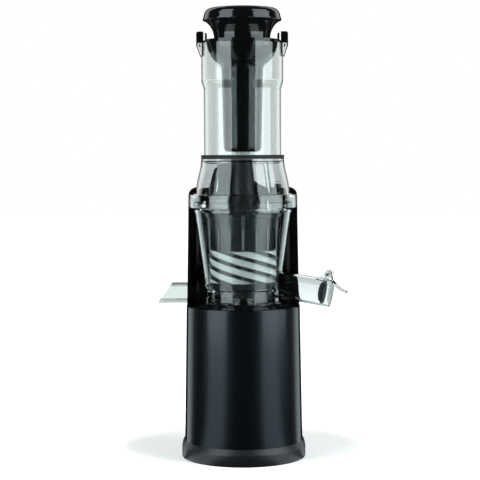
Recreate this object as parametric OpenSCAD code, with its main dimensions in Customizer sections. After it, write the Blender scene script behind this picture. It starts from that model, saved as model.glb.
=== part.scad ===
// Cold press juicer: base with motor and gear train, bowl with strainer and auger,
// twist-on feed hopper and pusher. Millimetres, +Z up, the front faces -Y.
// The origin is on the table, on the auger's axis.

/* [Base] */
// Widest radius of the foot ring
foot_r = 61.8; // [60:0.1:66]
// Height at which the body stands on the foot ring
foot_h = 17; // [14:0.5:22]
// Height of the foot ring's upright edge
foot_edge = 6.4; // [4:0.2:9]
// Radius of the body, taken down to the table
body_r = 59.2; // [57:0.1:60.4]
// Radius that the body loses for each millimetre of height
body_taper = 0.0175; // [0.01:0.0005:0.024]
// Length of the straight sides between the front and the rear half rounds
back = 22; // [16:1:34]
// Wall of the rear housing
wall = 2.5; // [2:0.1:3]
// Thickness of the metal front panel
panel_t = 1.6; // [1:0.1:2]
// Half of the angle that the front panel covers
panel_half = 73.3; // [60:0.1:76]
// Height of the base at its edge
base_h = 151; // [147:1:160]
// Rise of the bowl seat over the edge
seat_rise = 3; // [2:0.5:5]
// Width of the rubber ring underneath
pad_w = 6; // [4:0.5:8]
// Height of the rubber ring underneath
pad_t = 3; // [2.6:0.2:4]

/* [Column] */
// Height of the column over the edge of the base
column_h = 117; // [110:1:130]
// Distance of the column's front edges behind the axis
column_y = 16; // [12:0.5:22]
// Gap between the locking ring and the round bay behind it
bay_gap = 1.7; // [1.1:0.1:2.4]
// Radius of the column's top corners
corner_r = 7; // [4:0.5:10]
// Half of the angle that the liner covers
liner_half = 44; // [30:1:50]

/* [Bowl] */
// Radius of the bowl's foot
bowl_foot_r = 36.9; // [36:0.1:37.4]
// Height of the bowl without its lid
bowl_h = 99.7; // [96:0.1:106]
// Radius of the bowl's straight rim
bowl_rim_r = 48.2; // [47.4:0.1:48.4]
// Height of the straight rim
bowl_rim_h = 9; // [8:0.5:11]
// Wall of the bowl
bowl_wall = 2.3; // [1.8:0.1:2.8]
// Height of the ledge that the strainer stands on
ledge_h = 14.7; // [13:0.1:16]
// Radius of the bowl just over the ledge
bowl_low_r = 38.3; // [37.8:0.1:39]

/* [Outlets] */
// Outer radius of the juice spout
spout_r = 13.5; // [12:0.1:14]
// Wall of the juice spout
spout_wall = 1.9; // [1.5:0.1:2.4]
// Distance from the spout's root to its mouth
spout_len = 53; // [48:0.5:58]
// Fall of the spout
spout_pitch = 8.5; // [5:0.5:10]
// Turn of the spout towards the front
spout_yaw = 12.8; // [8:0.2:16]
// Depth of the cap on the spout
cap_depth = 8; // [6.5:0.5:10]
// Height of the pulp chute
chute_h = 17.7; // [16:0.1:19]
// Width of the pulp chute
chute_w = 30; // [24:1:32]
// Wall of the pulp chute
chute_wall = 1.8; // [1.4:0.1:2.4]
// Reach of the chute's floor from the axis
chute_floor = 84; // [74:1:96]
// Reach of the chute's roof from the axis
chute_roof = 71; // [64:1:72]

/* [Strainer] */
// Outer radius of the perforated sleeve
sleeve_r = 33.2; // [33:0.1:33.6]
// Thickness of the sleeve
sleeve_t = 0.6; // [0.4:0.1:0.8]
// Height of the sleeve
sleeve_h = 32; // [28:0.5:36]
// Height of the strainer's foot ring
strainer_foot_h = 6; // [5:0.5:7]
// Height of the solid upper frame
strainer_top_h = 36; // [32:0.5:36]
// Number of diagonal ribs
rib_count = 6; // [4:1:8]
// Height in which a diagonal rib makes one turn
rib_lead = 60; // [50:1:80]
// Number of upright ribs on the upper frame
upright_count = 18; // [12:1:24]

/* [Auger] */
// Outer radius of the screw
auger_r = 31.4; // [30.6:0.1:31.8]
// Height of the auger without its pin
auger_h = 136; // [132:0.5:138]
// Height in which a flight makes one turn
auger_lead = 72; // [60:1:90]
// Reach of the wing at the auger's top
wing_r = 34.5; // [32:0.5:38]
// Radius of the steel pin
pin_r = 7; // [6:0.1:7.6]
// Width across the flats of the hexagonal drive
hex_w = 11; // [10:0.1:12]

/* [Hopper] */
// Wall of the locking ring round the bowl's bayonet lugs
ring_wall = 2.7; // [2.4:0.1:3.4]
// How far the bowl's bayonet lugs stand out
lug_out = 2; // [1.6:0.1:2.6]
// Height of the locking ring
ring_h = 16; // [15:0.5:18]
// Width of the flange at the dome's foot, inside the ring
dome_flange = 3.8; // [3.4:0.1:4.4]
// Outer radius of the dome at its top
dome_top_r = 41; // [40.8:0.1:42]
// Height of the dome over the locking ring
dome_h = 34; // [32:0.5:38]
// Wall of the dome
dome_wall = 2.4; // [2:0.1:2.8]
// Outer radius of the feed tube
tube_r = 38.2; // [37.6:0.1:38.6]
// Height of the tube under its wide upper part
tube_h = 68.2; // [62:0.1:78]
// Wall of the tube
tube_wall = 2.2; // [1.8:0.1:2.4]
// Height of the wide upper part
cup_h = 45; // [38:1:50]
// Step from the tube to its wide upper part
cup_step = 2.3; // [2:0.1:2.6]
// Reach of the ears that lie over the rim's lugs
lug_reach = 45.2; // [44.8:0.1:47]
// Width of the lugs
lug_w = 16; // [12:1:20]

/* [Pusher] */
// Widest radius of the pusher's cap
cap_r = 39; // [37:0.1:42]
// Height of the cap over the hopper's rim
cap_h = 34.5; // [32:0.5:40]
// Radius of the neck under the cap
neck_r = 27.8; // [26:0.1:29]
// Radius of the stem at its lower end
stem_r = 18.8; // [17.5:0.1:20]
// Gap between the pusher's lower end and the auger's shoulder
stem_gap = 8; // [6:0.5:10]

/* [Drive] */
// Teeth of the motor's pinion
pinion_teeth = 10; // [9:1:12]
// Teeth of the first and second wheel
wheel_teeth = 44; // [40:1:46]
// Teeth of the second pinion
second_teeth = 12; // [11:1:14]
// Teeth of the third pinion
third_teeth = 10; // [9:1:12]
// Teeth of the output wheel
output_teeth = 32; // [28:1:34]
// Module of the first two gear pairs
fine_module = 1; // [0.9:0.02:1.02]
// Module of the output pair
coarse_module = 1.25; // [1.15:0.02:1.27]
// Width of the gears' toothed rims
face_w = 6; // [5:0.5:7]
// Radius of the output shaft
shaft_r = 5; // [4:0.1:5.2]
// Radius of the motor's can
motor_r = 32; // [28:0.5:36]
// Length of the motor's can
motor_h = 62; // [50:1:64]
// Radius of the motor's shaft
rotor_shaft_r = 2.5; // [2:0.1:2.8]

/* [Clearances] */
// Gap between pieces that move past each other
run_gap = 0.3; // [0.3:0.05:0.5]
// Radial clearance of a shaft in its hole
fit_gap = 0.05; // [0.03:0.01:0.08]
// Gap between pieces that are fixed together
seat_gap = 0.1; // [0.05:0.05:0.2]

/* [Hidden] */
bayonet_r = bowl_rim_r + lug_out;
ring_in = bayonet_r + run_gap + 0.1;
ring_r = ring_in + ring_wall;
bay_r = ring_r + bay_gap;
dome_r = ring_in - dome_flange;
$fn = 64;
base_ring_z = 0.5;
seat_z = base_h + seat_rise;
column_z = base_h + column_h;
bowl_z = seat_z + run_gap;
ledge_z = bowl_z + ledge_h;
rim_z = bowl_z + bowl_h;
cone_top_z = rim_z - bowl_rim_h;
ring_z = rim_z - 7;
ring_top = ring_z + ring_h;
dome_foot_z = rim_z + run_gap + 1;
dome_z = ring_top + dome_h;
gasket_h = 4;
tube_z = dome_z + 0.8;
cup_z = tube_z + tube_h;
hopper_z = cup_z + cup_h;
cup_r = tube_r + cup_step;
auger_z = ledge_z - 9;
auger_top = auger_z + auger_h;
stem_z = auger_top + stem_gap;
cap_top = hopper_z + cap_h;
sleeve_z = ledge_z + strainer_foot_h;
upper_z = sleeve_z + sleeve_h;
strainer_top = upper_z + strainer_top_h;

// ---------- helpers ----------

// Outer radius of the body at a height
function body_at(z) = body_r - body_taper * z;

// A point on a circle
function polar(r, a) = [r * cos(a), r * sin(a)];

// Points of an arc, from one angle to the other
function arc(c, r, a0, a1, n) =
    [for (i = [0:n]) c + polar(r, a0 + (a1 - a0) * i / n)];

// A profile of radius and height, turned through part of a circle
module turn(a0, a1) {
    rotate([0, 0, a0]) rotate_extrude(angle = a1 - a0) children();
}

// A profile led round the body's plan: half round, straight sides, half round
module lead_round() {
    turn(180, 360) children();
    translate([0, back, 0]) turn(0, 180) children();
    translate([0, back, 0]) rotate([90, 0, 0]) linear_extrude(back) children();
    mirror([1, 0, 0]) translate([0, back, 0]) rotate([90, 0, 0]) linear_extrude(back) children();
}

// A solid with the body's plan, inset by a distance, between two heights
module body_solid(z0, z1, inset) {
    lead_round() polygon([
        [0, z0], [body_at(z0) - inset, z0], [body_at(z1) - inset, z1], [0, z1]
    ]);
}

// A plate with the body's plan and upright edges
module body_plate(z0, z1, r) {
    lead_round() translate([0, z0]) square([r, z1 - z0]);
}

// A ring between two radii and two heights
module ring(r0, r1, z0, z1) {
    rotate_extrude() translate([r0, z0]) square([r1 - r0, z1 - z0]);
}

// A block between two corners
module block(a, b) {
    translate(a) cube(b - a);
}

// ---------- base ----------

pad_z = pad_t;
plate_z = 2.4;
plate_t = 2.6;
foot_lip = 3;
neck_h = 4;
groove_r = body_at(foot_h + neck_h) - wall - seat_gap;
groove_z = foot_h - 4.6;
foot_in = body_r - wall - foot_lip;
plate_r = foot_in - seat_gap;
pad_r = plate_r - 12.5;
shell_z = foot_h;
panel_top = base_h - 0.4;
panel_lip = wall - panel_t;
screw_r = 1.6;
boss_r = 3.6;
boss_h = 11;
screw_reach = plate_r - 7;
screw_spots = [for (a = [45, 135, 225, 315]) [0, a < 180 ? back : 0] + polar(screw_reach, a)];
vent_count = 7;
vent_pitch = 6.5;
groove_d = 1.2;

module foot_ring() {
    boss_z = plate_z + plate_t + seat_gap;
    color("#1b1c1e") difference() {
        union() {
            foot_wall();
            for (s = screw_spots) {
                translate([s.x, s.y, boss_z]) cylinder(r = boss_r, h = boss_h);
                translate([s.x, s.y, 0]) rotate([0, 0, heading([0, back / 2], s)])
                    block([2, -1.2, boss_z], [foot_in + 1 - screw_reach, 1.2, boss_z + boss_h - 1]);
            }
        }
        for (s = screw_spots) translate([s.x, s.y, boss_z - 1]) cylinder(r = screw_r + fit_gap, h = boss_h);
    }
}

module foot_wall() {
    seat = plate_z + plate_t;
    lead_round() polygon(concat(
        [[foot_in, base_ring_z]],
        arc([foot_r - 1, base_ring_z + 1], 1, -90, 0, 3),
        arc([foot_r - 1, foot_edge - 0.4], 1, 0, 45, 2),
        [
            [groove_r, groove_z], [groove_r, foot_h + neck_h], [foot_in, foot_h + neck_h], [foot_in, seat + 1],
            [foot_in - 2, seat + 1], [foot_in - 2, seat + seat_gap], [foot_in, seat + seat_gap]
        ]
    ));
}

module bottom_plate() {
    color("#26272a") difference() {
        union() {
            body_plate(plate_z, plate_z + plate_t, plate_r);
            for (x = [-1, 1])
                block([x * 25.5 - 2.5, board_y - 3, plate_z + 1], [x * 25.5 + 2.5, board_y + 4, plate_z + 12]);
        }
        lead_round() translate([pad_r - pad_w - seat_gap, 0])
            square([pad_w + 2 * seat_gap, plate_z + groove_d]);
        for (s = screw_spots) translate([s.x, s.y, 0]) {
            cylinder(r = screw_r + seat_gap, h = 40);
            cylinder(r = 3.2, h = plate_z + 1.4);
        }
        for (i = [0:vent_count - 1])
            block([-14, (i - (vent_count - 1) / 2) * vent_pitch - 1.5, 0],
                  [14, (i - (vent_count - 1) / 2) * vent_pitch + 1.5, 10]);
        block([-27 - seat_gap, board_y - seat_gap, plate_z + 3],
              [27 + seat_gap, board_y + board_t + seat_gap, plate_z + 14]);
    }
}

module non_slip_pad() {
    color("#101112") lead_round() translate([pad_r - pad_w, 0])
        square([pad_w, plate_z + groove_d - seat_gap]);
}

module bottom_screws() {
    color("silver") for (s = screw_spots) translate([s.x, s.y, 0]) difference() {
        union() {
            translate([0, 0, plate_z + 1.4 - 1.9]) cylinder(r = 2.9, h = 1.9);
            translate([0, 0, plate_z + 1]) cylinder(r = screw_r, h = plate_t + boss_h - 2.5);
        }
        for (a = [0, 90]) rotate([0, 0, a]) block([-1.8, -0.35, plate_z - 1], [1.8, 0.35, plate_z + 0.4]);
    }
}

// Outline of the shell's wall between two insets, from one height to another
module wall_profile(z0, z1, out, in) {
    polygon([
        [body_at(z0) - in, z0], [body_at(z0) - out, z0],
        [body_at(z1) - out, z1], [body_at(z1) - in, z1]
    ]);
}

module front_panel() {
    color("#45484c") turn(270 - panel_half, 270 + panel_half) {
        wall_profile(shell_z, panel_top, 0, panel_t);
        for (z = [shell_z, panel_top - 1.4])
            translate([body_at(z + 1.4) - wall, z]) square([panel_lip + 0.2, 1.4]);
    }
}

switch_z = 118;
switch_y = back + body_at(switch_z) - 3.4;
switch_w = 27;
switch_h = 33;
gland_z = 34;
gland_y = back + body_at(gland_z) - 3.4;
gland_w = 16;
hole_w = 19;
hole_h = 25;

// Flat seat for a fitting on the round rear wall
module rear_seat(z, y, w, h) {
    block([-w / 2 - 2.5, y - 2.5, z - h / 2 - 2.5], [w / 2 + 2.5, y + 1.6, z + h / 2 + 2.5]);
}

// Room cut into the rear wall over that seat
module rear_recess(z, y, w, h) {
    block([-w / 2, y, z - h / 2], [w / 2, y + 12, z + h / 2]);
}

// The column's outer form, inset by a distance
module column_solid(inset) {
    intersection() {
        body_solid(base_h - (inset > 0 ? 1 : 0), column_z - inset, inset);
        translate([0, back + body_r, 0]) rotate([90, 0, 0])
            linear_extrude(back + body_r - column_y - inset) column_front(inset);
    }
}

// The column's front outline, inset by a distance
module column_front(inset) {
    side = body_at(column_z) - inset;
    top = column_z - inset;
    r = max(corner_r - inset, 1);
    low = body_at(base_h) + 2;
    polygon(concat(
        [[-low, base_h - 2], [low, base_h - 2], [low, base_h + 20]],
        arc([side - r, top - r], r, 0, 90, 8),
        arc([-side + r, top - r], r, 90, 180, 8),
        [[-low, base_h + 20]]
    ));
}

liner_t = 2;
liner_z0 = base_h + 3;
liner_z1 = column_z - 5;

module rear_housing() {
    color("#0b0c0d") difference() {
        union() {
            turn(270 + panel_half + 0.25, 360) wall_profile(shell_z, base_h, 0, wall);
            turn(180, 270 - panel_half - 0.25) wall_profile(shell_z, base_h, 0, wall);
            for (m = [0, 1]) mirror([m, 0, 0])
                translate([0, back, 0]) rotate([90, 0, 0]) linear_extrude(back)
                    wall_profile(shell_z, base_h, 0, wall);
            translate([0, back, 0]) turn(0, 180) wall_profile(shell_z, base_h, 0, wall);
            intersection() {
                union() {
                    rear_seat(switch_z, switch_y, switch_w, switch_h);
                    rear_seat(gland_z, gland_y, gland_w, gland_w);
                }
                body_solid(shell_z, base_h, 0);
            }
            difference() {
                column_solid(0);
                translate([0, 0, base_h - 5]) cylinder(r = bay_r, h = column_h + 10);
                difference() {
                    column_solid(wall);
                    translate([0, 0, base_h - 5]) cylinder(r = bay_r + liner_t, h = column_h + 10);
                }
            }
        }
        rear_recess(switch_z, switch_y, switch_w, switch_h);
        rear_recess(gland_z, gland_y, gland_w, gland_w);
        block([-hole_w / 2, switch_y - 6, switch_z - hole_h / 2], [hole_w / 2, switch_y + 1, switch_z + hole_h / 2]);
        translate([0, gland_y - 6, gland_z]) rotate([-90, 0, 0]) cylinder(r = 5.2, h = 8);
        // window for the liner
        intersection() {
            ring(bay_r - 1, bay_r + liner_t + 0.6, liner_z0, liner_z1);
            liner_wedge(liner_half);
        }
    }
}

// Sector behind the bay, wide enough for the liner
module liner_wedge(half) {
    linear_extrude(column_z) polygon([[0, 0], polar(110, 90 - half), polar(150, 90), polar(110, 90 + half)]);
}

module column_liner() {
    color("#141517") intersection() {
        ring(bay_r, bay_r + liner_t - seat_gap, liner_z0 + seat_gap, liner_z1 - seat_gap);
        liner_wedge(liner_half - 0.15);
    }
}

deck_edge = 5.5;
lip_r = bowl_foot_r + run_gap + 2.6;
lip_z = seat_z + 1.2;
deck_hole_r = 8.5;

module top_deck() {
    r_in = body_at(base_h) - wall - seat_gap;
    color("#0c0d0f") difference() {
        union() {
            body_plate(base_h - 3.5, base_h, r_in);
            rotate_extrude() polygon([
                [0, base_h - 3.5], [r_in - deck_edge, base_h - 3.5], [r_in - deck_edge, base_h],
                [lip_r + 4, base_h + 1.2], [lip_r, lip_z - 0.8], [lip_r - 0.6, lip_z],
                [bowl_foot_r + run_gap + 0.5, lip_z], [bowl_foot_r + run_gap, lip_z - 0.5],
                [bowl_foot_r + run_gap, seat_z], [0, seat_z]
            ]);
            for (s = cover_spots) translate([s.x, s.y, cover_top + seat_gap])
                cylinder(r = 4, h = base_h - 3 - cover_top);
        }
        translate([0, 0, base_h - 10]) cylinder(r = deck_hole_r, h = 20);
        for (s = cover_spots) translate([s.x, s.y, cover_top - 1])
            cylinder(r = screw_r + seat_gap, h = base_h - 1.5 - cover_top);
        translate([0, back + 12, base_h - 10]) cylinder(r = 9, h = 20);
    }
}

module deck_seal() {
    color("#3a3b3d") rotate_extrude() polygon([
        [shaft_r + fit_gap, seat_z - 4], [deck_hole_r - seat_gap, seat_z - 4],
        [deck_hole_r - seat_gap, seat_z - 0.3], [shaft_r + 1.6, seat_z - 0.3],
        [shaft_r + fit_gap, seat_z - 1.4]
    ]);
}

// ---------- gear train ----------

pressure = 25;
tip_share = 0.8;
root_share = 1.05;
play = 0.16;
axle_one_d = fine_module * (pinion_teeth + wheel_teeth) / 2;
axle_two_d = coarse_module * (third_teeth + output_teeth) / 2;
axle_gap_d = fine_module * (second_teeth + wheel_teeth) / 2;
axle_angle = acos((pow(axle_one_d, 2) + pow(axle_two_d, 2) - pow(axle_gap_d, 2))
                  / (2 * axle_one_d * axle_two_d));
axle_one = polar(axle_one_d, 90 - axle_angle / 2);
axle_two = polar(axle_two_d, 90 + axle_angle / 2);
axle_r = 3;
case_t = 3;
level = face_w + 3;
case_z = base_h - 50;
level_one = case_z + case_t + 1.5;
level_two = level_one + level;
level_three = level_two + level;
case_h = case_t + 3 * level + 3;
case_top = case_z + case_h;
case_y = axle_one.y * 0.6;
case_r = fine_module * (wheel_teeth / 2 + tip_share) + norm([axle_one.x, axle_one.y - case_y]) + 4.5;
cover_t = 3;
cover_top = case_top + cover_t;
cover_spots = [for (a = [90, 200, 270, 340]) [0, case_y] + polar(case_r - 4, a)];
bush_r = 8;
bush_z = level_three + face_w + 2 + 0.6;
bush_top = base_h - 5;

// Involute function, in degrees
function inv(a) = tan(a) * 180 / PI - a;

// Half of a tooth's angle at a radius
function tooth_half(n, m, r) =
    90 / n - play / (n * m) * 180 / PI / 2 + inv(pressure)
    - (r > n * m / 2 * cos(pressure) ? inv(acos(n * m / 2 * cos(pressure) / r)) : 0);

// Outline of a gear with involute flanks
function gear_outline(n, m) =
    let (
        rp = n * m / 2,
        rb = rp * cos(pressure),
        root = rp - root_share * m,
        tip = rp + tip_share * m,
        radii = [root, max(rb, root + 0.12 * m), rp, tip]
    )
    [for (k = [0:n - 1]) each concat(
        [for (r = radii) polar(r, k * 360 / n - tooth_half(n, m, r))],
        [for (i = [3:-1:0]) polar(radii[i], k * 360 / n + tooth_half(n, m, radii[i]))]
    )];

module gear(n, m, h) {
    linear_extrude(h) polygon(gear_outline(n, m));
}

// Direction from one point to another
function heading(a, b) = atan2(b.y - a.y, b.x - a.x);

mesh_one = heading([0, 0], axle_one);
mesh_two = heading(axle_one, axle_two);
mesh_three = heading(axle_two, [0, 0]);

module gearbox_case() {
    color("#5a5d60") difference() {
        translate([0, case_y, case_z]) cylinder(r = case_r, h = case_h);
        difference() {
            translate([0, case_y, case_z + case_t]) cylinder(r = case_r - 2.4, h = case_h);
            for (s = cover_spots) translate([s.x, s.y, case_z]) cylinder(r = 4, h = case_h);
        }
        for (s = cover_spots) translate([s.x, s.y, case_z + case_h - 14]) cylinder(r = screw_r + seat_gap, h = 20);
        for (a = [axle_one, axle_two]) translate([a.x, a.y, case_z + 0.8]) cylinder(r = axle_r + fit_gap, h = 10);
        translate([0, 0, case_z - 1]) cylinder(r = 8 + seat_gap, h = 10);
        for (x = [-1, 1]) translate([x * 16, 0, case_z - 1]) cylinder(r = screw_r + seat_gap, h = 10);
    }
}

module gearbox_cover() {
    color("#66696c") difference() {
        union() {
            translate([0, case_y, case_top]) cylinder(r = case_r, h = cover_t);
            translate([0, 0, case_top]) cylinder(r = bush_r + 3.5, h = bush_top - case_top);
            translate([0, 0, bush_z]) cylinder(r = bush_r + 3.5, h = case_top - bush_z + 1);
        }
        translate([0, 0, bush_z - 5]) cylinder(r = bush_r + fit_gap, h = 60);
        for (s = cover_spots) translate([s.x, s.y, case_z]) cylinder(r = screw_r + seat_gap, h = 80);
        for (a = [axle_one, axle_two]) translate([a.x, a.y, case_top - 1]) cylinder(r = axle_r + fit_gap, h = cover_t);
    }
}

module output_bush() {
    color("#b08a4a") ring(shaft_r + fit_gap, bush_r, bush_z, bush_top + 0.5);
}

module gear_axles() {
    color("silver") for (a = [axle_one, axle_two])
        translate([a.x, a.y, case_z + 0.9]) cylinder(r = axle_r, h = case_top + cover_t - 1.2 - case_z - 0.9);
}

module gearbox_screws() {
    color("silver") {
        for (s = cover_spots) translate([s.x, s.y, 0])
            translate([0, 0, case_top - 11]) cylinder(r = screw_r, h = base_h - 4.2 - case_top + 11);
        for (x = [-1, 1]) translate([x * 16, 0, 0]) {
            translate([0, 0, case_z + case_t]) cylinder(r = 2.8, h = 1.2);
            translate([0, 0, case_z - 2.6]) cylinder(r = screw_r, h = case_t + 2.8);
        }
    }
}

module first_gear() {
    color("#d8d4c6") translate([axle_one.x, axle_one.y, 0]) difference() {
        union() {
            translate([0, 0, level_one]) rotate([0, 0, mesh_one + 180 + 180 / wheel_teeth])
                gear(wheel_teeth, fine_module, face_w);
            translate([0, 0, level_one + face_w]) rotate([0, 0, mesh_two])
                gear(second_teeth, fine_module, level + 0.5);
        }
        translate([0, 0, level_one - 1]) cylinder(r = axle_r + fit_gap, h = 60);
    }
}

module second_gear() {
    color("#d8d4c6") translate([axle_two.x, axle_two.y, 0]) difference() {
        union() {
            translate([0, 0, level_two + 0.5]) rotate([0, 0, mesh_two + 180 + 180 / wheel_teeth])
                gear(wheel_teeth, fine_module, face_w);
            translate([0, 0, level_two + 0.5 + face_w]) rotate([0, 0, mesh_three])
                gear(third_teeth, coarse_module, level + 1);
        }
        translate([0, 0, level_two - 1]) cylinder(r = axle_r + fit_gap, h = 60);
    }
}

module output_gear() {
    color("#c9c5b6") difference() {
        translate([0, 0, level_three + 1]) rotate([0, 0, mesh_three + 180 + 180 / output_teeth])
            gear(output_teeth, coarse_module, face_w + 1);
        translate([0, 0, level_three - 1]) cylinder(r = shaft_r, h = 30);
        translate([0, 0, level_three + face_w]) ring(shaft_r + 3, 15, 0, 5);
    }
}

hex_z = seat_z + 0.5;
hex_h = 24;

module drive_shaft() {
    color("#c4c6c8") {
        translate([0, 0, level_three + 0.4]) cylinder(r = shaft_r, h = hex_z - level_three - 0.4);
        translate([0, 0, hex_z]) rotate([0, 0, 30]) cylinder(r = hex_w / 2 / cos(30), h = hex_h, $fn = 6);
    }
}

// ---------- motor ----------

motor_z = case_z - motor_h;
can_t = 1.6;
bearing_r = 8;
core_r = motor_r - can_t - 7;
fan_z = motor_z - 10;

module motor_can() {
    color("#8a8d90") difference() {
        translate([0, 0, motor_z + 3]) cylinder(r = motor_r, h = motor_h - 3);
        translate([0, 0, motor_z]) cylinder(r = motor_r - can_t, h = motor_h - 3);
        translate([0, 0, motor_z]) cylinder(r = bearing_r + fit_gap, h = motor_h + 5);
        for (x = [-1, 1]) translate([x * 16, 0, case_z - 5]) cylinder(r = screw_r + fit_gap, h = 10);
    }
}

module motor_endcap() {
    color("#77797c") difference() {
        union() {
            translate([0, 0, motor_z]) cylinder(r = motor_r, h = 3 - seat_gap);
            translate([0, 0, motor_z + 2]) ring(motor_r - can_t - 2.5, motor_r - can_t - seat_gap, 0, 4);
            for (a = [0:3]) rotate([0, 0, 45 + 90 * a]) translate([motor_r - 7, 0, plate_z + plate_t + seat_gap])
                cylinder(r = 3, h = motor_z - plate_z - plate_t);
        }
        translate([0, 0, motor_z - 1]) cylinder(r = bearing_r + fit_gap, h = 10);
    }
}

module motor_magnets() {
    color("#303236") for (s = [0, 180]) rotate([0, 0, s - 60]) turn(0, 120)
        translate([core_r + 0.8, motor_z + 12]) square([motor_r - can_t - seat_gap - core_r - 0.8, motor_h - 24]);
}

module motor_bearings() {
    color("#9c9fa2") {
        ring(rotor_shaft_r + fit_gap, bearing_r, motor_z + 0.2, motor_z + 5);
        ring(rotor_shaft_r + fit_gap, bearing_r, case_z - 3, case_z + case_t);
    }
}

module rotor_shaft() {
    color("#c0c2c4") translate([0, 0, fan_z - 1.5]) cylinder(r = rotor_shaft_r, h = level_one + face_w + 1 - fan_z);
}

module rotor_core() {
    color("#9a6a3a") difference() {
        union() {
            translate([0, 0, motor_z + 14]) cylinder(r = core_r, h = motor_h - 28);
            translate([0, 0, motor_z + 9]) cylinder(r = core_r - 4, h = motor_h - 18);
            translate([0, 0, motor_z + 6]) cylinder(r = 7, h = motor_h - 12);
        }
        translate([0, 0, motor_z]) cylinder(r = rotor_shaft_r, h = motor_h);
        for (a = [0:11]) rotate([0, 0, 30 * a]) block([core_r - 3, -1, motor_z + 13.5], [core_r + 1, 1, case_z - 13.5]);
    }
}

module motor_pinion() {
    color("#b58f4c") difference() {
        translate([0, 0, level_one - 0.7]) rotate([0, 0, mesh_one]) gear(pinion_teeth, fine_module, face_w + 1.4);
        translate([0, 0, level_one - 2]) cylinder(r = rotor_shaft_r, h = 20);
    }
}

blade_count = 9;

module cooling_fan() {
    color("#e2e2de") difference() {
        union() {
            translate([0, 0, fan_z]) cylinder(r = 6, h = 6.5);
            translate([0, 0, fan_z]) cylinder(r = 21, h = 1.2);
            for (i = [0:blade_count - 1]) rotate([0, 0, i * 360 / blade_count])
                block([5, -0.6, fan_z + 1], [20, 0.6, fan_z + 6]);
        }
        translate([0, 0, fan_z - 1]) cylinder(r = rotor_shaft_r, h = 20);
    }
}

// ---------- electrics ----------

board_y = back + 36;
board_t = 1.6;

module control_board() {
    color("#2f6b3c") {
        block([-27, board_y, plate_z + 3.1], [27, board_y + board_t, plate_z + 62]);
        block([-20, board_y - 9, 22], [-6, board_y, 44]);
        translate([6, board_y, 34]) rotate([90, 0, 0]) cylinder(r = 6, h = 11);
        block([-18, board_y - 6, 50], [18, board_y, 56]);
    }
}

module cord_gland() {
    color("#17181a") difference() {
        union() {
            translate([0, gland_y + seat_gap, gland_z]) rotate([-90, 0, 0]) cylinder(r = 7.5, h = 2.6);
            translate([0, gland_y - 4, gland_z]) rotate([-90, 0, 0]) cylinder(r = 5, h = 5);
        }
        translate([0, gland_y - 10, gland_z]) rotate([-90, 0, 0]) cylinder(r = 3.3, h = 20);
    }
}

rocker_r = 9;

module switch_frame() {
    color("#1a1b1d") difference() {
        union() {
            block([-switch_w / 2 + seat_gap, switch_y + seat_gap, switch_z - switch_h / 2 + seat_gap],
                  [switch_w / 2 - seat_gap, switch_y + 3, switch_z + switch_h / 2 - seat_gap]);
            block([-hole_w / 2 + seat_gap, switch_y - 13, switch_z - hole_h / 2 + seat_gap],
                  [hole_w / 2 - seat_gap, switch_y + 1, switch_z + hole_h / 2 - seat_gap]);
        }
        block([-7.5, switch_y - 11, switch_z - 10.6], [7.5, switch_y + 4, switch_z + 10.6]);
        translate([-10, switch_y, switch_z]) rotate([0, 90, 0]) cylinder(r = 1.5 + fit_gap, h = 20);
    }
}

module power_rocker() {
    color("#232427") translate([0, switch_y, switch_z]) {
        intersection() {
            rotate([0, 90, 0]) translate([0, 0, -7.2]) cylinder(r = 10.2, h = 14.4);
            rotate([90, 0, 90]) translate([0, 0, -8]) linear_extrude(16) polygon([
                [-4, -5], [-4, 5], [0.5, 9], [3.6, 9], [2.2, 0], [3.6, -9], [0.5, -9]
            ]);
        }
        rotate([0, 90, 0]) translate([0, 0, -9.3]) cylinder(r = 1.5, h = 18.6);
    }
}

sensor_out = bay_r + liner_t + 2.9;
sensor_z = column_z - 20;
sensor_gap = 3.24177;
sensor_reach = body_at(sensor_z + 12) - wall - sensor_gap;
sensor_a = asin((pow(sensor_out, 2) + pow(back, 2) - pow(sensor_reach, 2)) / (2 * sensor_out * back));

module lid_sensor() {
    color("#2b6b8a") rotate([0, 0, sensor_a]) block(
        [sensor_out - 2.6, -3, sensor_z], [sensor_out, 3, sensor_z + 12]
    );
}

// ---------- bowl ----------

boss_in = 12;
floor_t = 2.3;
window_h = 9.4;
plug_x0 = -32;
plug_x1 = -24;
plug_w = 12;
cone_slope = (bowl_rim_r - bowl_low_r) / (cone_top_z - ledge_z);
lug_count = 4;
lug_angle = 18;
bayonet_z = ring_z + 2 + run_gap + 0.1;

// Outer radius of the bowl's cone at a height
function bowl_at(z) = bowl_low_r + cone_slope * (z - ledge_z);

spout_y = -13;
spout_x = 27;
spout_root = [spout_x, spout_y, bowl_z + 20];

// Places what follows on the spout's axis, a distance from its root
module at_spout(d) {
    translate(spout_root) rotate([0, 0, -spout_yaw]) rotate([0, 90 + spout_pitch, 0])
        translate([0, 0, d]) children();
}

// The same place as a point in the object's frame
function spout_point(p) =
    let (
        x = -p.x * sin(spout_pitch) + p.z * cos(spout_pitch),
        z = -p.x * cos(spout_pitch) - p.z * sin(spout_pitch)
    )
    spout_root + [x * cos(spout_yaw) + p.y * sin(spout_yaw), -x * sin(spout_yaw) + p.y * cos(spout_yaw), z];

pivot_up = spout_r + 4.7;
pivot_out = 3;
pivot_r = 1.4;
ear_r = 4.4;
ear_w = 3;
arm_w = 8;
echo(spout_pivot = spout_point([-pivot_up, 0, spout_len + pivot_out]));
echo(spout_axis = [-sin(spout_yaw), -cos(spout_yaw), 0]);

module bowl_shell(grow) {
    rotate_extrude() polygon([
        [0, bowl_z - grow], [bowl_foot_r + grow, bowl_z - grow], [bowl_foot_r + 0.3 + grow, ledge_z - 1.5],
        [bowl_low_r + grow, ledge_z], [bowl_rim_r + grow, cone_top_z], [bowl_rim_r + grow, rim_z], [0, rim_z]
    ]);
}

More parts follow.
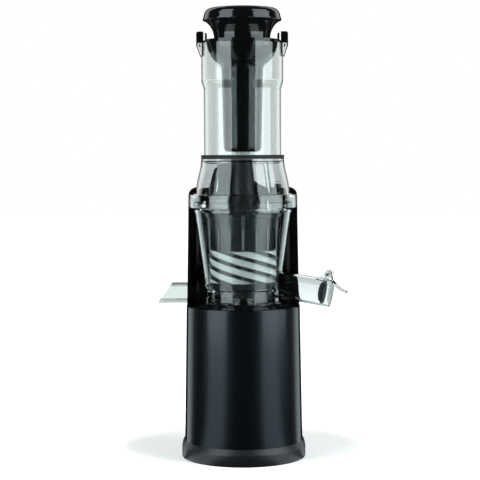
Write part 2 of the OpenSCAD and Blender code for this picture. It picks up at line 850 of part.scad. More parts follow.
module bowl_hollow() {
    w = bowl_wall;
    rotate_extrude() polygon([
        [0, ledge_z], [bowl_low_r - w, ledge_z], [bowl_rim_r - w, cone_top_z],
        [bowl_rim_r - w, rim_z + 1], [0, rim_z + 1]
    ]);
    // pulp chamber under the ledge
    rotate_extrude() polygon([
        [boss_in + 2.6, bowl_z + floor_t], [bowl_foot_r - w, bowl_z + floor_t],
        [bowl_foot_r - w, ledge_z - 2.6], [28, ledge_z - 2.6], [28, ledge_z + 1],
        [0, ledge_z + 1], [0, bowl_z + 5], [boss_in + 2.6, bowl_z + 5]
    ]);
}

module bowl_ears() {
    for (s = [-1, 1]) at_spout(0) translate([0, s * (arm_w / 2 + run_gap + ear_w / 2), 0])
        rotate([90, 0, 0]) translate([0, 0, -ear_w / 2]) linear_extrude(ear_w) polygon(concat(
            [[-spout_r + 3.5, spout_len - 7], [-spout_r + 3.5, spout_len]],
            [[-spout_r - 0.9, spout_len], [-spout_r - 0.9, spout_len + pivot_out]],
            arc([-pivot_up, spout_len + pivot_out], ear_r, 30, 270, 9),
            [[-spout_r, spout_len - 7]]
        ));
}

module juice_bowl() {
    color("#9fa6aa", 0.45) difference() {
        union() {
            difference() {
                union() {
                    bowl_shell(0);
                    ring(bowl_rim_r - 1, bowl_rim_r + 0.9, cone_top_z - 0.6, cone_top_z + 1.2);
                    at_spout(0) cylinder(r = spout_r, h = spout_len);
                    for (i = [0:lug_count - 1]) rotate([0, 0, 45 + i * 360 / lug_count])
                        turn(-lug_angle / 2, lug_angle / 2)
                            translate([bowl_rim_r - 1, bayonet_z]) square([bayonet_r - bowl_rim_r + 1, 3]);
                }
                bowl_hollow();
            }
            bowl_ears();
        }
        translate([0, 0, bowl_z - 1]) cylinder(r = boss_in, h = 12);
        // juice way: the bore of the spout, open to the bowl over the ledge
        difference() {
            at_spout(4) cylinder(r = spout_r - spout_wall, h = spout_len);
            rotate_extrude() polygon([
                [0, bowl_z], [bowl_foot_r, bowl_z], [bowl_foot_r + 0.3, ledge_z - 1.5],
                [bowl_low_r, ledge_z + 0.4], [0, ledge_z + 0.4]
            ]);
        }
        // pulp way through the foot's wall
        block([-bowl_foot_r - 2, chute_y - chute_w / 2 + chute_wall, bowl_z + floor_t],
              [-bowl_foot_r + 8, chute_y + chute_w / 2 - chute_wall, bowl_z + floor_t + window_h]);
        at_spout(spout_len + pivot_out) translate([-pivot_up, 0, 0])
            rotate([90, 0, 0]) translate([0, 0, -12]) cylinder(r = pivot_r + fit_gap, h = 24);
        block([plug_x0, chute_y - plug_w / 2, bowl_z - 1], [plug_x1, chute_y + plug_w / 2, bowl_z + floor_t + 1]);
    }
}

module bowl_seal() {
    color("#c9cdd0") ring(neck_socket_r + run_gap, boss_in - seat_gap, bowl_z + 0.4, bowl_z + 4.6);
}

chute_y = -4;
chute_z = lip_z + 0.5;

// The chute's outline from the front, inset by a wall
module chute_outline(inset) {
    top = chute_z + chute_h - inset;
    low = chute_z + inset;
    slant = (chute_floor - chute_roof) / chute_h;
    out = inset > 0 ? 10 : 0;
    polygon([
        [-20, low], [-chute_floor + slant * inset - out, low],
        [-chute_roof - slant * inset - out, top], [-20, top]
    ]);
}

module pulp_chute() {
    color("#dfe5e6", 0.4) difference() {
        translate([0, chute_y + chute_w / 2, 0]) rotate([90, 0, 0]) linear_extrude(chute_w) chute_outline(0);
        translate([0, chute_y + chute_w / 2 - chute_wall, 0]) rotate([90, 0, 0])
            linear_extrude(chute_w - 2 * chute_wall) chute_outline(chute_wall);
        bowl_shell(seat_gap);
    }
}

module pulp_plug() {
    g = seat_gap;
    lip = 0.6;
    z = bowl_z + floor_t;
    color("#8f9498") translate([0, chute_y, 0]) {
        block([plug_x0 + g, -plug_w / 2 + g, bowl_z + g], [plug_x1 - g, plug_w / 2 - g, z + 1]);
        block([plug_x0 - lip, -plug_w / 2 - lip, z], [plug_x1 + lip, plug_w / 2 + lip, z + 1]);
    }
}

// ---------- strainer ----------

foot_ring_r = bowl_low_r - bowl_wall - seat_gap;
rib_out = 1.6;
rib_turn = 22;
upper_r = 36.6;
upright_w = 1.1;

// One diagonal rib in plan
module rib_plan() {
    r0 = sleeve_r + seat_gap + 0.3;
    r1 = r0 + rib_out;
    polygon(concat(
        [for (a = [-rib_turn / 2, 0, rib_turn / 2]) polar(r0, a)],
        [for (a = [rib_turn / 2, 0, -rib_turn / 2]) polar(r1, a)]
    ));
}

module strainer_frame() {
    color("#2c2f33", 0.9) {
        rotate_extrude() polygon([
            [sleeve_r - sleeve_t - 0.5, ledge_z + seat_gap], [foot_ring_r, ledge_z + seat_gap],
            [foot_ring_r + 0.4, sleeve_z + 0.4], [sleeve_r + seat_gap, sleeve_z + 0.4],
            [sleeve_r + seat_gap, sleeve_z - 1.1], [sleeve_r - sleeve_t - 0.5, sleeve_z - 1.1]
        ]);
        for (i = [0:rib_count - 1]) rotate([0, 0, i * 360 / rib_count + 4])
            translate([0, 0, sleeve_z]) linear_extrude(
                sleeve_h + 0.6, twist = 360 * (sleeve_h + 0.6) / rib_lead, slices = 22, segments = 1, $fn = 3
            ) rib_plan();
        rotate_extrude() polygon([
            [sleeve_r - sleeve_t - 0.5, upper_z + 1.2], [sleeve_r + seat_gap, upper_z + 1.2],
            [sleeve_r + seat_gap, upper_z], [sleeve_r + seat_gap + rib_out, upper_z],
            [upper_r, strainer_top - 4], [upper_r + 1.6, strainer_top - 3],
            [upper_r + 1.6, strainer_top], [sleeve_r + 1.2, strainer_top],
            [sleeve_r, upper_z + 6]
        ]);
        for (i = [0:upright_count - 1]) rotate([0, 0, 270 + i * 360 / upright_count])
            block([sleeve_r + 1, -upright_w / 2, upper_z + 2], [upper_r + 0.3, upright_w / 2, upper_z + 22]);
    }
}

module strainer_sleeve() {
    color("#c8cacb") ring(sleeve_r - sleeve_t, sleeve_r, sleeve_z - 1, upper_z + 1.1);
}

module spout_pin() {
    color("silver") at_spout(spout_len + pivot_out) translate([-pivot_up, 0, 0])
        rotate([90, 0, 0]) translate([0, 0, -arm_w / 2 - run_gap - ear_w])
            cylinder(r = pivot_r, h = arm_w + 2 * run_gap + 2 * ear_w);
}

// ---------- auger ----------

neck_socket_r = 8.5;
pocket_r = 9.3;
pocket_h = 26;
bore_r = 4.2;
bore_h = 18;
fin_top = 10;
fin_foot = 13;
rows = 46;
between = 7;
wing_h = 87;
wing_pitch = 1.6;

// Core radius of the screw at a height over its foot
function core_at(h) = lookup(h, [
    [0, 25], [10, 25.5], [14, 26.5], [60, 19.5], [100, 13.4], [auger_h - 4, 10], [auger_h, 9.6]
]);

// Reach of a flight at a height: the first ends in a steep wing, the second stops under it
function flight_at(k, h) = lookup(h, concat(
    [[0, 25], [9.5, 25.2], [13, auger_r], [wing_h, auger_r]],
    k == 1
        ? [[wing_h + 5, wing_r - 1], [wing_h + 18, wing_r], [auger_h - 9, wing_r - 6], [auger_h - 3, wing_r - 9]]
        : [[wing_h + 14, auger_r - 1.5], [wing_h + 20, auger_r - 4.5], [wing_h + 27, 12]],
    [[auger_h, 8]]
));

// Turn of the flights at a height, slower over the strainer
function turn_at(h) = -360 * min(h, wing_h) / auger_lead - wing_pitch * max(h - wing_h, 0);

// Columns round the screw: [angle, flight number or 0]
columns = [for (s = [0, 1]) each concat(
    [[s * 180 - fin_foot, 0], [s * 180 - fin_top, s + 1], [s * 180, s + 1],
     [s * 180 + fin_top, s + 1], [s * 180 + fin_foot, 0]],
    [for (k = [1:between - 1]) [s * 180 + fin_foot + k * (180 - 2 * fin_foot) / between, 0]]
)];
column_count = len(columns);

// Rings of the screw from its pocket, round its outside, into the bore at its top
screw_rings = concat(
    [[pocket_h, pocket_r, false], [0, pocket_r, false]],
    [for (j = [0:rows]) [j * auger_h / rows, 0, true]],
    [[auger_h, bore_r, false], [auger_h - bore_h, bore_r, false]]
);

function ring_point(q, c) =
    let (
        h = q[0],
        r = q[2] ? max(core_at(h), c[1] > 0 ? flight_at(c[1], h) : 0) : q[1],
        a = c[0] + turn_at(q[2] ? h : h < auger_h / 2 ? 0 : auger_h) - 60
    )
    [r * cos(a), r * sin(a), auger_z + h];

module auger_screw() {
    n = column_count;
    m = len(screw_rings);
    color("#15161a") polyhedron(
        points = concat(
            [for (q = screw_rings) for (c = columns) ring_point(q, c)],
            [[0, 0, auger_z + pocket_h], [0, 0, auger_z + auger_h - bore_h]]
        ),
        faces = concat(
            [for (i = [0:m - 2]) for (j = [0:n - 1]) each [
                [i * n + j, (i + 1) * n + j, (i + 1) * n + (j + 1) % n],
                [i * n + j, (i + 1) * n + (j + 1) % n, i * n + (j + 1) % n]
            ]],
            [for (j = [0:n - 1]) [m * n, j, (j + 1) % n]],
            [for (j = [0:n - 1]) [(m - 1) * n + j, m * n + 1, (m - 1) * n + (j + 1) % n]]
        )
    );
}

module auger_socket() {
    color("#c4c6c8") difference() {
        union() {
            translate([0, 0, auger_z + 0.1]) cylinder(r = 8.9, h = pocket_h - 0.4);
            translate([0, 0, bowl_z + 1]) cylinder(r = neck_socket_r, h = auger_z - bowl_z);
        }
        rotate([0, 0, 30]) translate([0, 0, bowl_z]) cylinder(r = (hex_w / 2 + 0.3) / cos(30), h = hex_h + 2, $fn = 6);
    }
}

module auger_pin() {
    color("#d6d8da") rotate_extrude() polygon([
        [0, auger_top - bore_h + 0.3], [bore_r - 0.15, auger_top - bore_h + 0.3],
        [bore_r - 0.15, auger_top + seat_gap], [pin_r, auger_top + seat_gap],
        [pin_r, auger_top + 10.5], [pin_r - 1, auger_top + 11.5], [0, auger_top + 11.5]
    ]);
}

// ---------- spout cap ----------

cap_gap = 0.5;
seal_t = 1.4;
tab_w = 12;
tab_t = 1.4;
tab_arc = 20;
tab_c = [-spout_r - 9.4, 16.5];

module spout_cap() {
    face = spout_len + cap_gap;
    color("#9fa6aa", 0.6) difference() {
        union() {
            at_spout(face) cylinder(r = spout_r, h = cap_depth);
            at_spout(0) rotate([90, 0, 0]) translate([0, 0, -arm_w / 2]) linear_extrude(arm_w) polygon(concat(
                [[-spout_r + 2, face + 2.6], [-spout_r + 2, face + cap_depth]],
                arc([-pivot_up, spout_len + pivot_out], 3.2, 80, 270, 8)
            ));
            // lift tab, curving out and down
            at_spout(face + cap_depth) rotate([90, 0, 0]) translate([0, 0, -tab_w / 2])
                linear_extrude(tab_w) polygon(concat(
                    [[-spout_r + 3.4, -1.2], [-spout_r + 0.4, -1.2]],
                    arc(tab_c, tab_arc - tab_t, -45, -4, 7), arc(tab_c, tab_arc, -4, -45, 7)
                ));
        }
        at_spout(face - 1) cylinder(r = spout_r - 1.8, h = cap_depth - 0.6);
        at_spout(spout_len + pivot_out) translate([-pivot_up, 0, 0])
            rotate([90, 0, 0]) translate([0, 0, -12]) cylinder(r = pivot_r + fit_gap, h = 24);
    }
}

module cap_seal() {
    edge = spout_r - 1.8 - seat_gap;
    color("#0d0d0f") at_spout(spout_len + cap_gap) rotate_extrude() polygon([
        [0, -4.6], [5.2, -4.3], [8.6, -3.2], [edge - 1, -1.2], [edge - 0.4, 0], [edge, 0.3],
        [edge, seal_t], [0, seal_t]
    ]);
}

// ---------- hopper ----------

module lid_ring() {
    color("#8d9498", 0.5) {
        rotate_extrude() polygon([
            [ring_in, ring_z + 0.4], [ring_r - 2.2, ring_z + 0.4], [ring_r, ring_z + 2.2],
            [ring_r, ring_top - 5.2], [ring_r - 0.5, ring_top - 5.2], [ring_r - 0.5, ring_top - 4.4],
            [ring_r, ring_top - 4.4], [ring_r, ring_top - 1.2], [ring_r - 1.2, ring_top],
            [dome_r + seat_gap, ring_top], [dome_r + seat_gap, dome_foot_z + 4], [ring_in, dome_foot_z + 4]
        ]);
        for (i = [0:lug_count - 1]) rotate([0, 0, 45 + i * 360 / lug_count]) turn(-lug_angle / 2, lug_angle / 2)
            translate([bowl_rim_r + run_gap + 0.1, ring_z]) square([ring_in - bowl_rim_r + 1, 2]);
    }
}

module feed_dome() {
    w = dome_wall;
    mid = ring_top + dome_h * 0.35;
    color("#9aa0a4", 0.5) {
        rotate_extrude() polygon([
            [dome_r - w, dome_foot_z], [ring_in - run_gap, dome_foot_z],
            [ring_in - run_gap, dome_foot_z + 4 - seat_gap], [dome_r, dome_foot_z + 4 - seat_gap],
            [dome_r, ring_top + 2], [dome_r - 1.6, mid], [dome_top_r + 0.9, dome_z - 8],
            [dome_top_r, dome_z], [tube_r - tube_wall, dome_z], [tube_r - tube_wall, dome_z - 2],
            [dome_top_r - w, dome_z - 3], [dome_top_r + 0.9 - w, dome_z - 8],
            [dome_r - 1.6 - w, mid], [dome_r - w, ring_top + 2]
        ]);
        for (a = [53, 127, 233, 307]) rotate([0, 0, a]) rotate([90, 0, 0]) translate([0, 0, -0.7]) linear_extrude(1.4)
            polygon([
                [dome_r - w - 2.4, ring_top + 2], [dome_r - w + 0.5, ring_top + 2], [dome_r - 1.1 - w, mid],
                [dome_top_r + 1.4 - w, dome_z - 8], [dome_top_r - w + 0.5, dome_z - 3],
                [dome_top_r - w - 2.4, dome_z - 3]
            ]);
    }
}

module lid_gasket() {
    color("#aab0b3") ring(bowl_rim_r - bowl_wall + 0.2, bowl_rim_r - 0.2, dome_foot_z - 0.9, dome_foot_z);
}

module feed_gasket() {
    color("#1d1f22") rotate_extrude() polygon([
        [tube_r + 0.9 + seat_gap, dome_z + seat_gap], [dome_top_r + 0.3, dome_z + seat_gap],
        [dome_top_r + 0.3, dome_z + gasket_h], [tube_r + seat_gap, dome_z + gasket_h],
        [tube_r + seat_gap, dome_z + 2.8], [tube_r + 0.9 + seat_gap, dome_z + 2.6]
    ]);
}

lug_h = 12;
lug_foot = 2.5;
shoulder_h = 7.6;
cheek_t = 1.5;
tongue_t = 1;
lug_inner = lug_reach - tongue_t - run_gap;
pin_hole_r = 0.8 + fit_gap;

module feed_tube() {
    in = tube_r - tube_wall;
    cup_in = cup_r - tube_wall;
    color("#d3d9da", 0.4) {
        rotate_extrude() polygon([
            [in, tube_z], [tube_r + 0.9, tube_z], [tube_r + 0.9, tube_z + 1.6], [tube_r, tube_z + 2],
            [tube_r, cup_z], [tube_r + 0.5, cup_z + 1.6], [cup_r - 0.6, cup_z + shoulder_h - 1.8],
            [cup_r, cup_z + shoulder_h], [cup_r, hopper_z], [cup_in, hopper_z], [cup_in, cup_z + shoulder_h + 1],
            [cup_in - 0.6, cup_z + shoulder_h - 1], [in + 0.4, cup_z + 2], [in, cup_z + 0.4]
        ]);
        for (m = [0, 1]) mirror([m, 0, 0]) difference() {
            hopper_lug(lug_w, 0);
            difference() {
                hopper_lug(lug_w - 2 * cheek_t, 1);
                block([cup_r - 2, -lug_w, hopper_z - lug_h - 1], [cup_r + 0.4, lug_w, hopper_z + 1]);
            }
            hopper_pin(pin_hole_r, lug_w + 4);
        }
    }
}

// One V-shaped lug at the tube's rim, inset by a wall
module hopper_lug(w, inset) {
    up = inset > 0 ? 2 : 0;
    translate([0, w / 2, 0]) rotate([90, 0, 0]) linear_extrude(w) polygon([
        [cup_r - 0.6, hopper_z - lug_h + inset * 2.4], [cup_r + 0.1, hopper_z - lug_h + inset * 2.4],
        [lug_inner - inset, hopper_z - lug_foot], [lug_inner - inset, hopper_z + up], [cup_r - 0.6, hopper_z + up]
    ]);
}

module hopper_pin(r, w) {
    translate([cup_r + 1.3, w / 2, hopper_z - 2.2]) rotate([90, 0, 0]) cylinder(r = r, h = w);
}

module hopper_pins() {
    color("#222427") for (m = [0, 1]) mirror([m, 0, 0]) hopper_pin(pin_hole_r - fit_gap, lug_w);
}

magnet_a = sensor_a;

module lid_magnet() {
    color("#101114") rotate([0, 0, magnet_a]) block(
        [dome_r + 0.4, -4, ring_top + seat_gap], [ring_r - 2, 4, ring_top + 9]
    );
}

// ---------- pusher ----------

collar_z = hopper_z + run_gap;
collar_t = 3;
cup_top_r = tube_r - tube_wall - 0.7;
collar_r = tube_r - 0.9;
shell_t = 2.4;
neck_curve = 20.4;
ear_h = 11;
oval_w = 25.9;
oval_h = 27.5;

module pusher_cap() {
    lip = cap_top - 12.4;
    foot = collar_z + collar_t;
    in = neck_r - shell_t - 0.6;
    color("#0a0a0b") rotate_extrude() polygon(concat(
        [[0, cap_top - 3], [in, cap_top - 3], [in, foot + seat_gap], [neck_r, foot + seat_gap]],
        arc([neck_r + neck_curve, foot + 1.7], neck_curve, 180, 125, 8),
        arc([cap_r - 1.1, lip + 1.1], 1.1, -90, 12, 3),
        arc([cap_r - 8.8, cap_top - 7.5], 7.5, 6, 90, 8),
        [[0, cap_top]]
    ));
}

module pusher_collar() {
    tab_r = collar_r - 0.6;
    color("#121315") difference() {
        union() {
            translate([0, 0, collar_z]) cylinder(r = collar_r, h = collar_t);
            for (m = [0, 1]) mirror([m, 0, 0]) {
                block([collar_r - 4, -lug_w / 2, collar_z], [cup_r, lug_w / 2, collar_z + 2.2]);
                block([tab_r - 1.7, -lug_w / 2, collar_z], [tab_r, lug_w / 2, collar_z + 9.4]);
                translate([0, lug_w / 2, 0]) rotate([90, 0, 0]) linear_extrude(lug_w) ear_profile();
            }
        }
        translate([0, 0, collar_z - 1]) cylinder(r = neck_r - shell_t - 0.6, h = 10);
    }
}

// Ear of the collar: a block over the rim and a tongue that runs down outside the lug
module ear_profile() {
    low = hopper_z - lug_h;
    polygon(concat(
        [[cup_r - 2, collar_z], [lug_reach - tongue_t, collar_z], [lug_reach - tongue_t, hopper_z - lug_foot],
         [cup_r + 0.1 + run_gap, low], [cup_r + 0.1 + run_gap, low - 0.8], [cup_r + 1, low - 0.8],
         [lug_reach, hopper_z - lug_foot]],
        arc([lug_reach - 2, collar_z + ear_h - 2], 2, 0, 90, 4),
        [[cup_r - 2, collar_z + ear_h]]
    ));
}

// Quarter of an oval, bulging down and out from a centre
function oval(c, rx, rz, a0, a1, n) =
    [for (i = [0:n]) let (a = a0 + (a1 - a0) * i / n) [c.x + rx * cos(a), c.y - rz * sin(a)]];

module pusher_body() {
    top = collar_z - seat_gap;
    low = stem_z;
    mid = [cup_top_r - oval_w, top + 2.4];
    color("#0d0e10") rotate_extrude() polygon(concat(
        [[0, mid.y - (oval_h - shell_t) * sin(66)]],
        oval(mid, oval_w - shell_t, oval_h - shell_t, 66, 6, 6),
        [[cup_top_r - shell_t, top], [cup_top_r, top]],
        oval(mid, oval_w, oval_h, 6, 62, 7),
        [[stem_r + 1.8, top - 24], [stem_r + 1.7, top - 27], [stem_r, low + 6]],
        arc([stem_r - 5, low + 5], 5, 0, -80, 5),
        [[pin_r + 1.5, low], [pin_r + 1.5, low + 8], [0, low + 8]]
    ));
}

foot_ring();
bottom_plate();
non_slip_pad();
bottom_screws();
front_panel();
rear_housing();
column_liner();
top_deck();
deck_seal();
gearbox_case();
gearbox_cover();
output_bush();
gear_axles();
gearbox_screws();
motor_can();
motor_endcap();
motor_magnets();
motor_bearings();
control_board();
cord_gland();
switch_frame();
lid_sensor();
rotor_shaft();
rotor_core();
motor_pinion();
cooling_fan();
first_gear();
second_gear();
output_gear();
drive_shaft();
power_rocker();
juice_bowl();
bowl_seal();
pulp_chute();
pulp_plug();
strainer_frame();
strainer_sleeve();
spout_pin();
auger_screw();
auger_socket();
auger_pin();
spout_cap();
cap_seal();
lid_ring();
feed_dome();
lid_gasket();
feed_gasket();
feed_tube();
hopper_pins();
lid_magnet();
pusher_cap();
pusher_collar();
pusher_body();
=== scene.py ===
import math

import bmesh
import bpy
from bpy.props import FloatProperty, FloatVectorProperty, IntProperty, PointerProperty
from mathutils import Matrix, Vector


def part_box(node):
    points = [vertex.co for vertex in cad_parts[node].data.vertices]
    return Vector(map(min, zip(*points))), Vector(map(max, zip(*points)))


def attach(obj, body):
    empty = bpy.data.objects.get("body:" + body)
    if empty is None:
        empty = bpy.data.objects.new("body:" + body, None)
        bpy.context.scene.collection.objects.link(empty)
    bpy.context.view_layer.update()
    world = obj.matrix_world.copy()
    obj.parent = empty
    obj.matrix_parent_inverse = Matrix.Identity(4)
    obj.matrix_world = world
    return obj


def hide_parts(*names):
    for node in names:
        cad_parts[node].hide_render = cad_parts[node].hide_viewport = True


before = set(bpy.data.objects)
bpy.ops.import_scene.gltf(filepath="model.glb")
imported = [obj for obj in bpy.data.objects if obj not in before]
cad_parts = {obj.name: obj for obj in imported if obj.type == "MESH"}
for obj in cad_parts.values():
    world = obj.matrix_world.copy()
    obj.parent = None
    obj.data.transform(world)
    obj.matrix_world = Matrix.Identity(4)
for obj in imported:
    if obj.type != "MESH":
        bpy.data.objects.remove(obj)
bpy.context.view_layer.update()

bl_info = {
    "name": "Cold press juicer",
    "version": (1, 0, 0),
    "blender": (4, 5, 0),
    "location": "3D View > Sidebar > Juicer",
    "description": "Dresses the packed juicer: finishes, perforated sieve, marks, studio stage",
    "category": "Object",
}

BLACK = (0.0, 0.0, 0.0)
WHITE = (1.0, 1.0, 1.0)


# ---------- sizes and colours ----------

def length(name, description, default, low=0.0, high=10.0):
    return FloatProperty(
        name=name, description=description, default=default, min=low, max=high,
        unit="LENGTH", subtype="DISTANCE", precision=5)


def share(name, description, default, high=1.0):
    return FloatProperty(name=name, description=description, default=default, min=0.0, max=high)


def angle(name, description, degrees):
    return FloatProperty(
        name=name, description=description, default=math.radians(degrees), subtype="ANGLE", unit="ROTATION")


def colour(name, description, default):
    return FloatVectorProperty(
        name=name, description=description, default=default, size=3, min=0.0, max=1.0, subtype="COLOR")


def span(name, description, default):
    """Four values: where it starts to rise, is full, starts to fade and has faded."""
    return FloatVectorProperty(
        name=name, description=description, default=default, size=4, min=0.0, max=1.0, precision=5)


class StageSizes(bpy.types.PropertyGroup):
    distance: length("Distance", "From the camera to the juicer's axis", 1.45)
    eye: length("Eye height", "Height of the camera over the table", 0.303)
    aside: length("Aside", "Shift of the camera to the left", 0.00295)
    pitch: angle("Pitch", "How far the camera looks down", 3.42)
    roll: angle("Roll", "Tilt of the camera about its view", -0.25)
    lens: FloatProperty(name="Lens", description="Focal length on a 36 mm sensor, in millimetres",
                        default=109.3, min=10.0)
    box_away: length("Softbox distance", "From the juicer to the middle of each softbox", 1.3)
    box_up: length("Softbox middle", "Height of the middle of each softbox", 1.0)
    box_high: length("Softbox height", "Height of each softbox", 2.4)
    left_turn: angle("Left softbox place", "Angle of the left softbox from the front", -54.0)
    left_wide: length("Left softbox width", "Width of the left softbox", 1.05)
    right_turn: angle("Right softbox place", "Angle of the right softbox from the front", 65.0)
    right_wide: length("Right softbox width", "Width of the right softbox", 1.36)
    box_glow: share("Softbox glow", "Radiance of the softboxes", 3.6, 20.0)
    lamp: colour("Lamp", "Colour of the softboxes", (0.87, 0.985, 1.0))
    fill: share("Fill", "Light from all round on diffuse surfaces", 0.3, 5.0)
    dark: share("Dark side", "What mirrors see where there is no lamp and no backdrop", 0.012)
    wall: share("Wall", "What mirrors see of the lit wall behind the juicer", 1.25, 10.0)
    wall_span: span("Wall's span", "How far back mirrored directions point that see the wall",
                    (0.46, 0.64, 0.81, 0.87))
    wall_inside: share("Wall inside", "Share of the wall seen past its span from inside clear pieces", 0.6)
    # painted reflection: the softboxes seen again in the table are a glow of the floor that only mirrored
    # rays see
    sheen: share("Table sheen", "Share of the softboxes that mirrors see again in the table", 0.36)
    sheen_span: span("Sheen's span", "How far ahead directions point in which the table shows it",
                     (0.22, 0.42, 0.78, 0.88))
    start_aside: length("Start aside", "Aside of the axis, where rays mirrored to the table start", 0.057)
    start_ahead: length("Start ahead", "In front of the axis, where the same rays start", 0.015)
    floor_size: length("Floor", "Side of the square floor", 12.0, 0.0, 50.0)
    # painted shadow: these sizes shape where the floor's glow is painted lower round the juicer, over the
    # shadow the lamps cast
    shadow_reach: length("Shadow reach", "Radius round the juicer in which the floor keeps its shadow", 0.165)
    shadow_back: length("Shadow's middle", "How far the shadow's middle lies behind the axis", 0.05)
    shadow_core: share("Shadow's core", "Share of its reach in which the shadow is whole", 0.65)
    shadow_round: share("Shadow's round", "Its width over its depth from front to back", 1.2, 5.0)
    shadow_lift: share("Shadow lift", "Brightness that the floor keeps in the shadow", 0.36)


class Colours(bpy.types.PropertyGroup):
    gloss: colour("Gloss black", "Housing, deck, column and pusher", (0.0018, 0.002, 0.0024))
    satin: colour("Satin black", "Switch, screw and pins", (0.005, 0.0053, 0.006))
    foot: colour("Foot", "Satin black of the foot ring", (0.003, 0.0038, 0.0056))
    panel: colour("Panel", "Lacquered metal of the front panel", (0.0142, 0.0184, 0.0228))
    smoky: colour("Smoky", "Tint of the bowl, and a little deeper of the dome and ring", (0.83, 0.87, 0.87))
    clear: colour("Clear", "Tint of the feed tube and the pulp chute", (0.79, 0.835, 0.825))
    dusk: colour("Dark translucent", "Tint of the strainer's frame", (0.02, 0.022, 0.026))
    steel: colour("Steel", "Stainless steel", (0.6, 0.6, 0.59))
    rubber: colour("Rubber", "Feet and dark seals", (0.013, 0.013, 0.014))


class RibSizes(bpy.types.PropertyGroup):
    # painted highlight: the ribs' outer faces between these distances are painted pale
    faces: span("Rib faces", "Distances from the axis, in metres, between which the ribs are pale",
                (0.03665, 0.0368, 0.0370, 0.0372))
    # the pale colour of that painted highlight on the ribs
    painted_highlight: colour("Rubbed", "Colour of the ribs' rubbed faces", (0.2, 0.22, 0.225))


class SieveSizes(bpy.types.PropertyGroup):
    hole: length("Hole", "Diameter of the sieve's holes", 0.0008, 0.0002, 0.0012)
    rows: IntProperty(name="Rows", description="Rows of holes", default=19, min=4, max=40)
    around: IntProperty(name="Holes round", description="Holes in a row", default=120, min=24, max=240)
    margin: length("Margin", "Plain edge over and under the holes", 0.0016)
    wall: length("Wall", "Thickness of the sieve's sheet", 0.0006)


class FootSizes(bpy.types.PropertyGroup):
    band: length("Band", "Height of the foot ring's upright band", 0.0122)
    top: length("Top", "Height at which the shoulder meets the body", 0.0169)
    slope: length("Slope", "How far the shoulder leans in", 0.0032)
    lean: angle("Lean", "How far the rounded edge turns before the shoulder goes on straight", 33.0)
    lift: length("Lift", "Height of the band's lower edge over the table", 0.0001)
    edge: length("Lower edge", "Radius of the band's lower edge", 0.0007)
    soft: length("Shoulder", "Radius between the band and its shoulder", 0.003)
    neck: length("Neck", "Radius of the ring's neck inside the body", 0.0562)
    inner: length("Inside", "Inner radius of the ring", 0.0537)


class MarkSizes(bpy.types.PropertyGroup):
    lock: length("Padlock", "Width of the padlock mark", 0.0048)
    lock_side: length("Padlock's place", "How far to the left of the axis it lies", 0.038)
    lock_up: length("Padlock's height", "Height of its foot over the ring's lower edge", 0.0034)
    tick: length("Tick", "Height of the upright alignment tick", 0.008)
    tick_wide: length("Tick's width", "Width of the alignment tick", 0.0007)
    tick_side: length("Tick's place", "How far to the right of the axis it lies", 0.024)
    tick_up: length("Tick's foot", "Height of its foot over the ring's lower edge", 0.0025)
    depth: length("Depth", "How far a mark stands proud", 0.00012)
    sunk: length("Sunk", "How far a mark reaches into the ring", 0.00005)
    seam: length("Seam", "Width of a witness line", 0.0003)
    seam_gap: length("Seam gap", "Between the two witness lines", 0.0019)
    seam_low: length("Seam's foot", "Height of the witness lines' lower end", 0.1745)
    seam_high: length("Seam's top", "Height of the witness lines' upper end", 0.243)
    seam_foot: length("Radius at the foot", "Radius of the bowl there", 0.03902)
    seam_rim: length("Radius at the top", "Radius of the bowl there", 0.04794)


class JuicerSettings(bpy.types.PropertyGroup):
    stage: PointerProperty(type=StageSizes)
    colours: PointerProperty(type=Colours)
    foot: PointerProperty(type=FootSizes)
    ribs: PointerProperty(type=RibSizes)
    sieve: PointerProperty(type=SieveSizes)
    marks: PointerProperty(type=MarkSizes)


def settings():
    return bpy.context.scene.juicer


# ---------- shader maths ----------

class Wire:
    """A shader socket that takes part in Python expressions."""

    def __init__(self, shader, socket):
        self.shader = shader
        self.socket = socket

    def math(self, operation, first, second):
        return self.shader.add("Math", {"operation": operation}, {0: first, 1: second})

    def __add__(self, other):
        return self.math("ADD", self, other)

    def __sub__(self, other):
        return self.math("SUBTRACT", self, other)

    def __mul__(self, other):
        return self.math("MULTIPLY", self, other)

    def __truediv__(self, other):
        return self.math("DIVIDE", self, other)

    def __pow__(self, other):
        return self.math("POWER", self, other)

    def __gt__(self, other):
        return self.math("GREATER_THAN", self, other)

    # reflected forms, for a number on the left
    __radd__ = __add__
    __rmul__ = __mul__

    def __rsub__(self, other):
        return self.math("SUBTRACT", other, self)

    def __rtruediv__(self, other):
        return self.math("DIVIDE", other, self)

    def __rpow__(self, other):
        return self.math("POWER", other, self)

    def __lt__(self, other):
        return self.math("LESS_THAN", self, other)


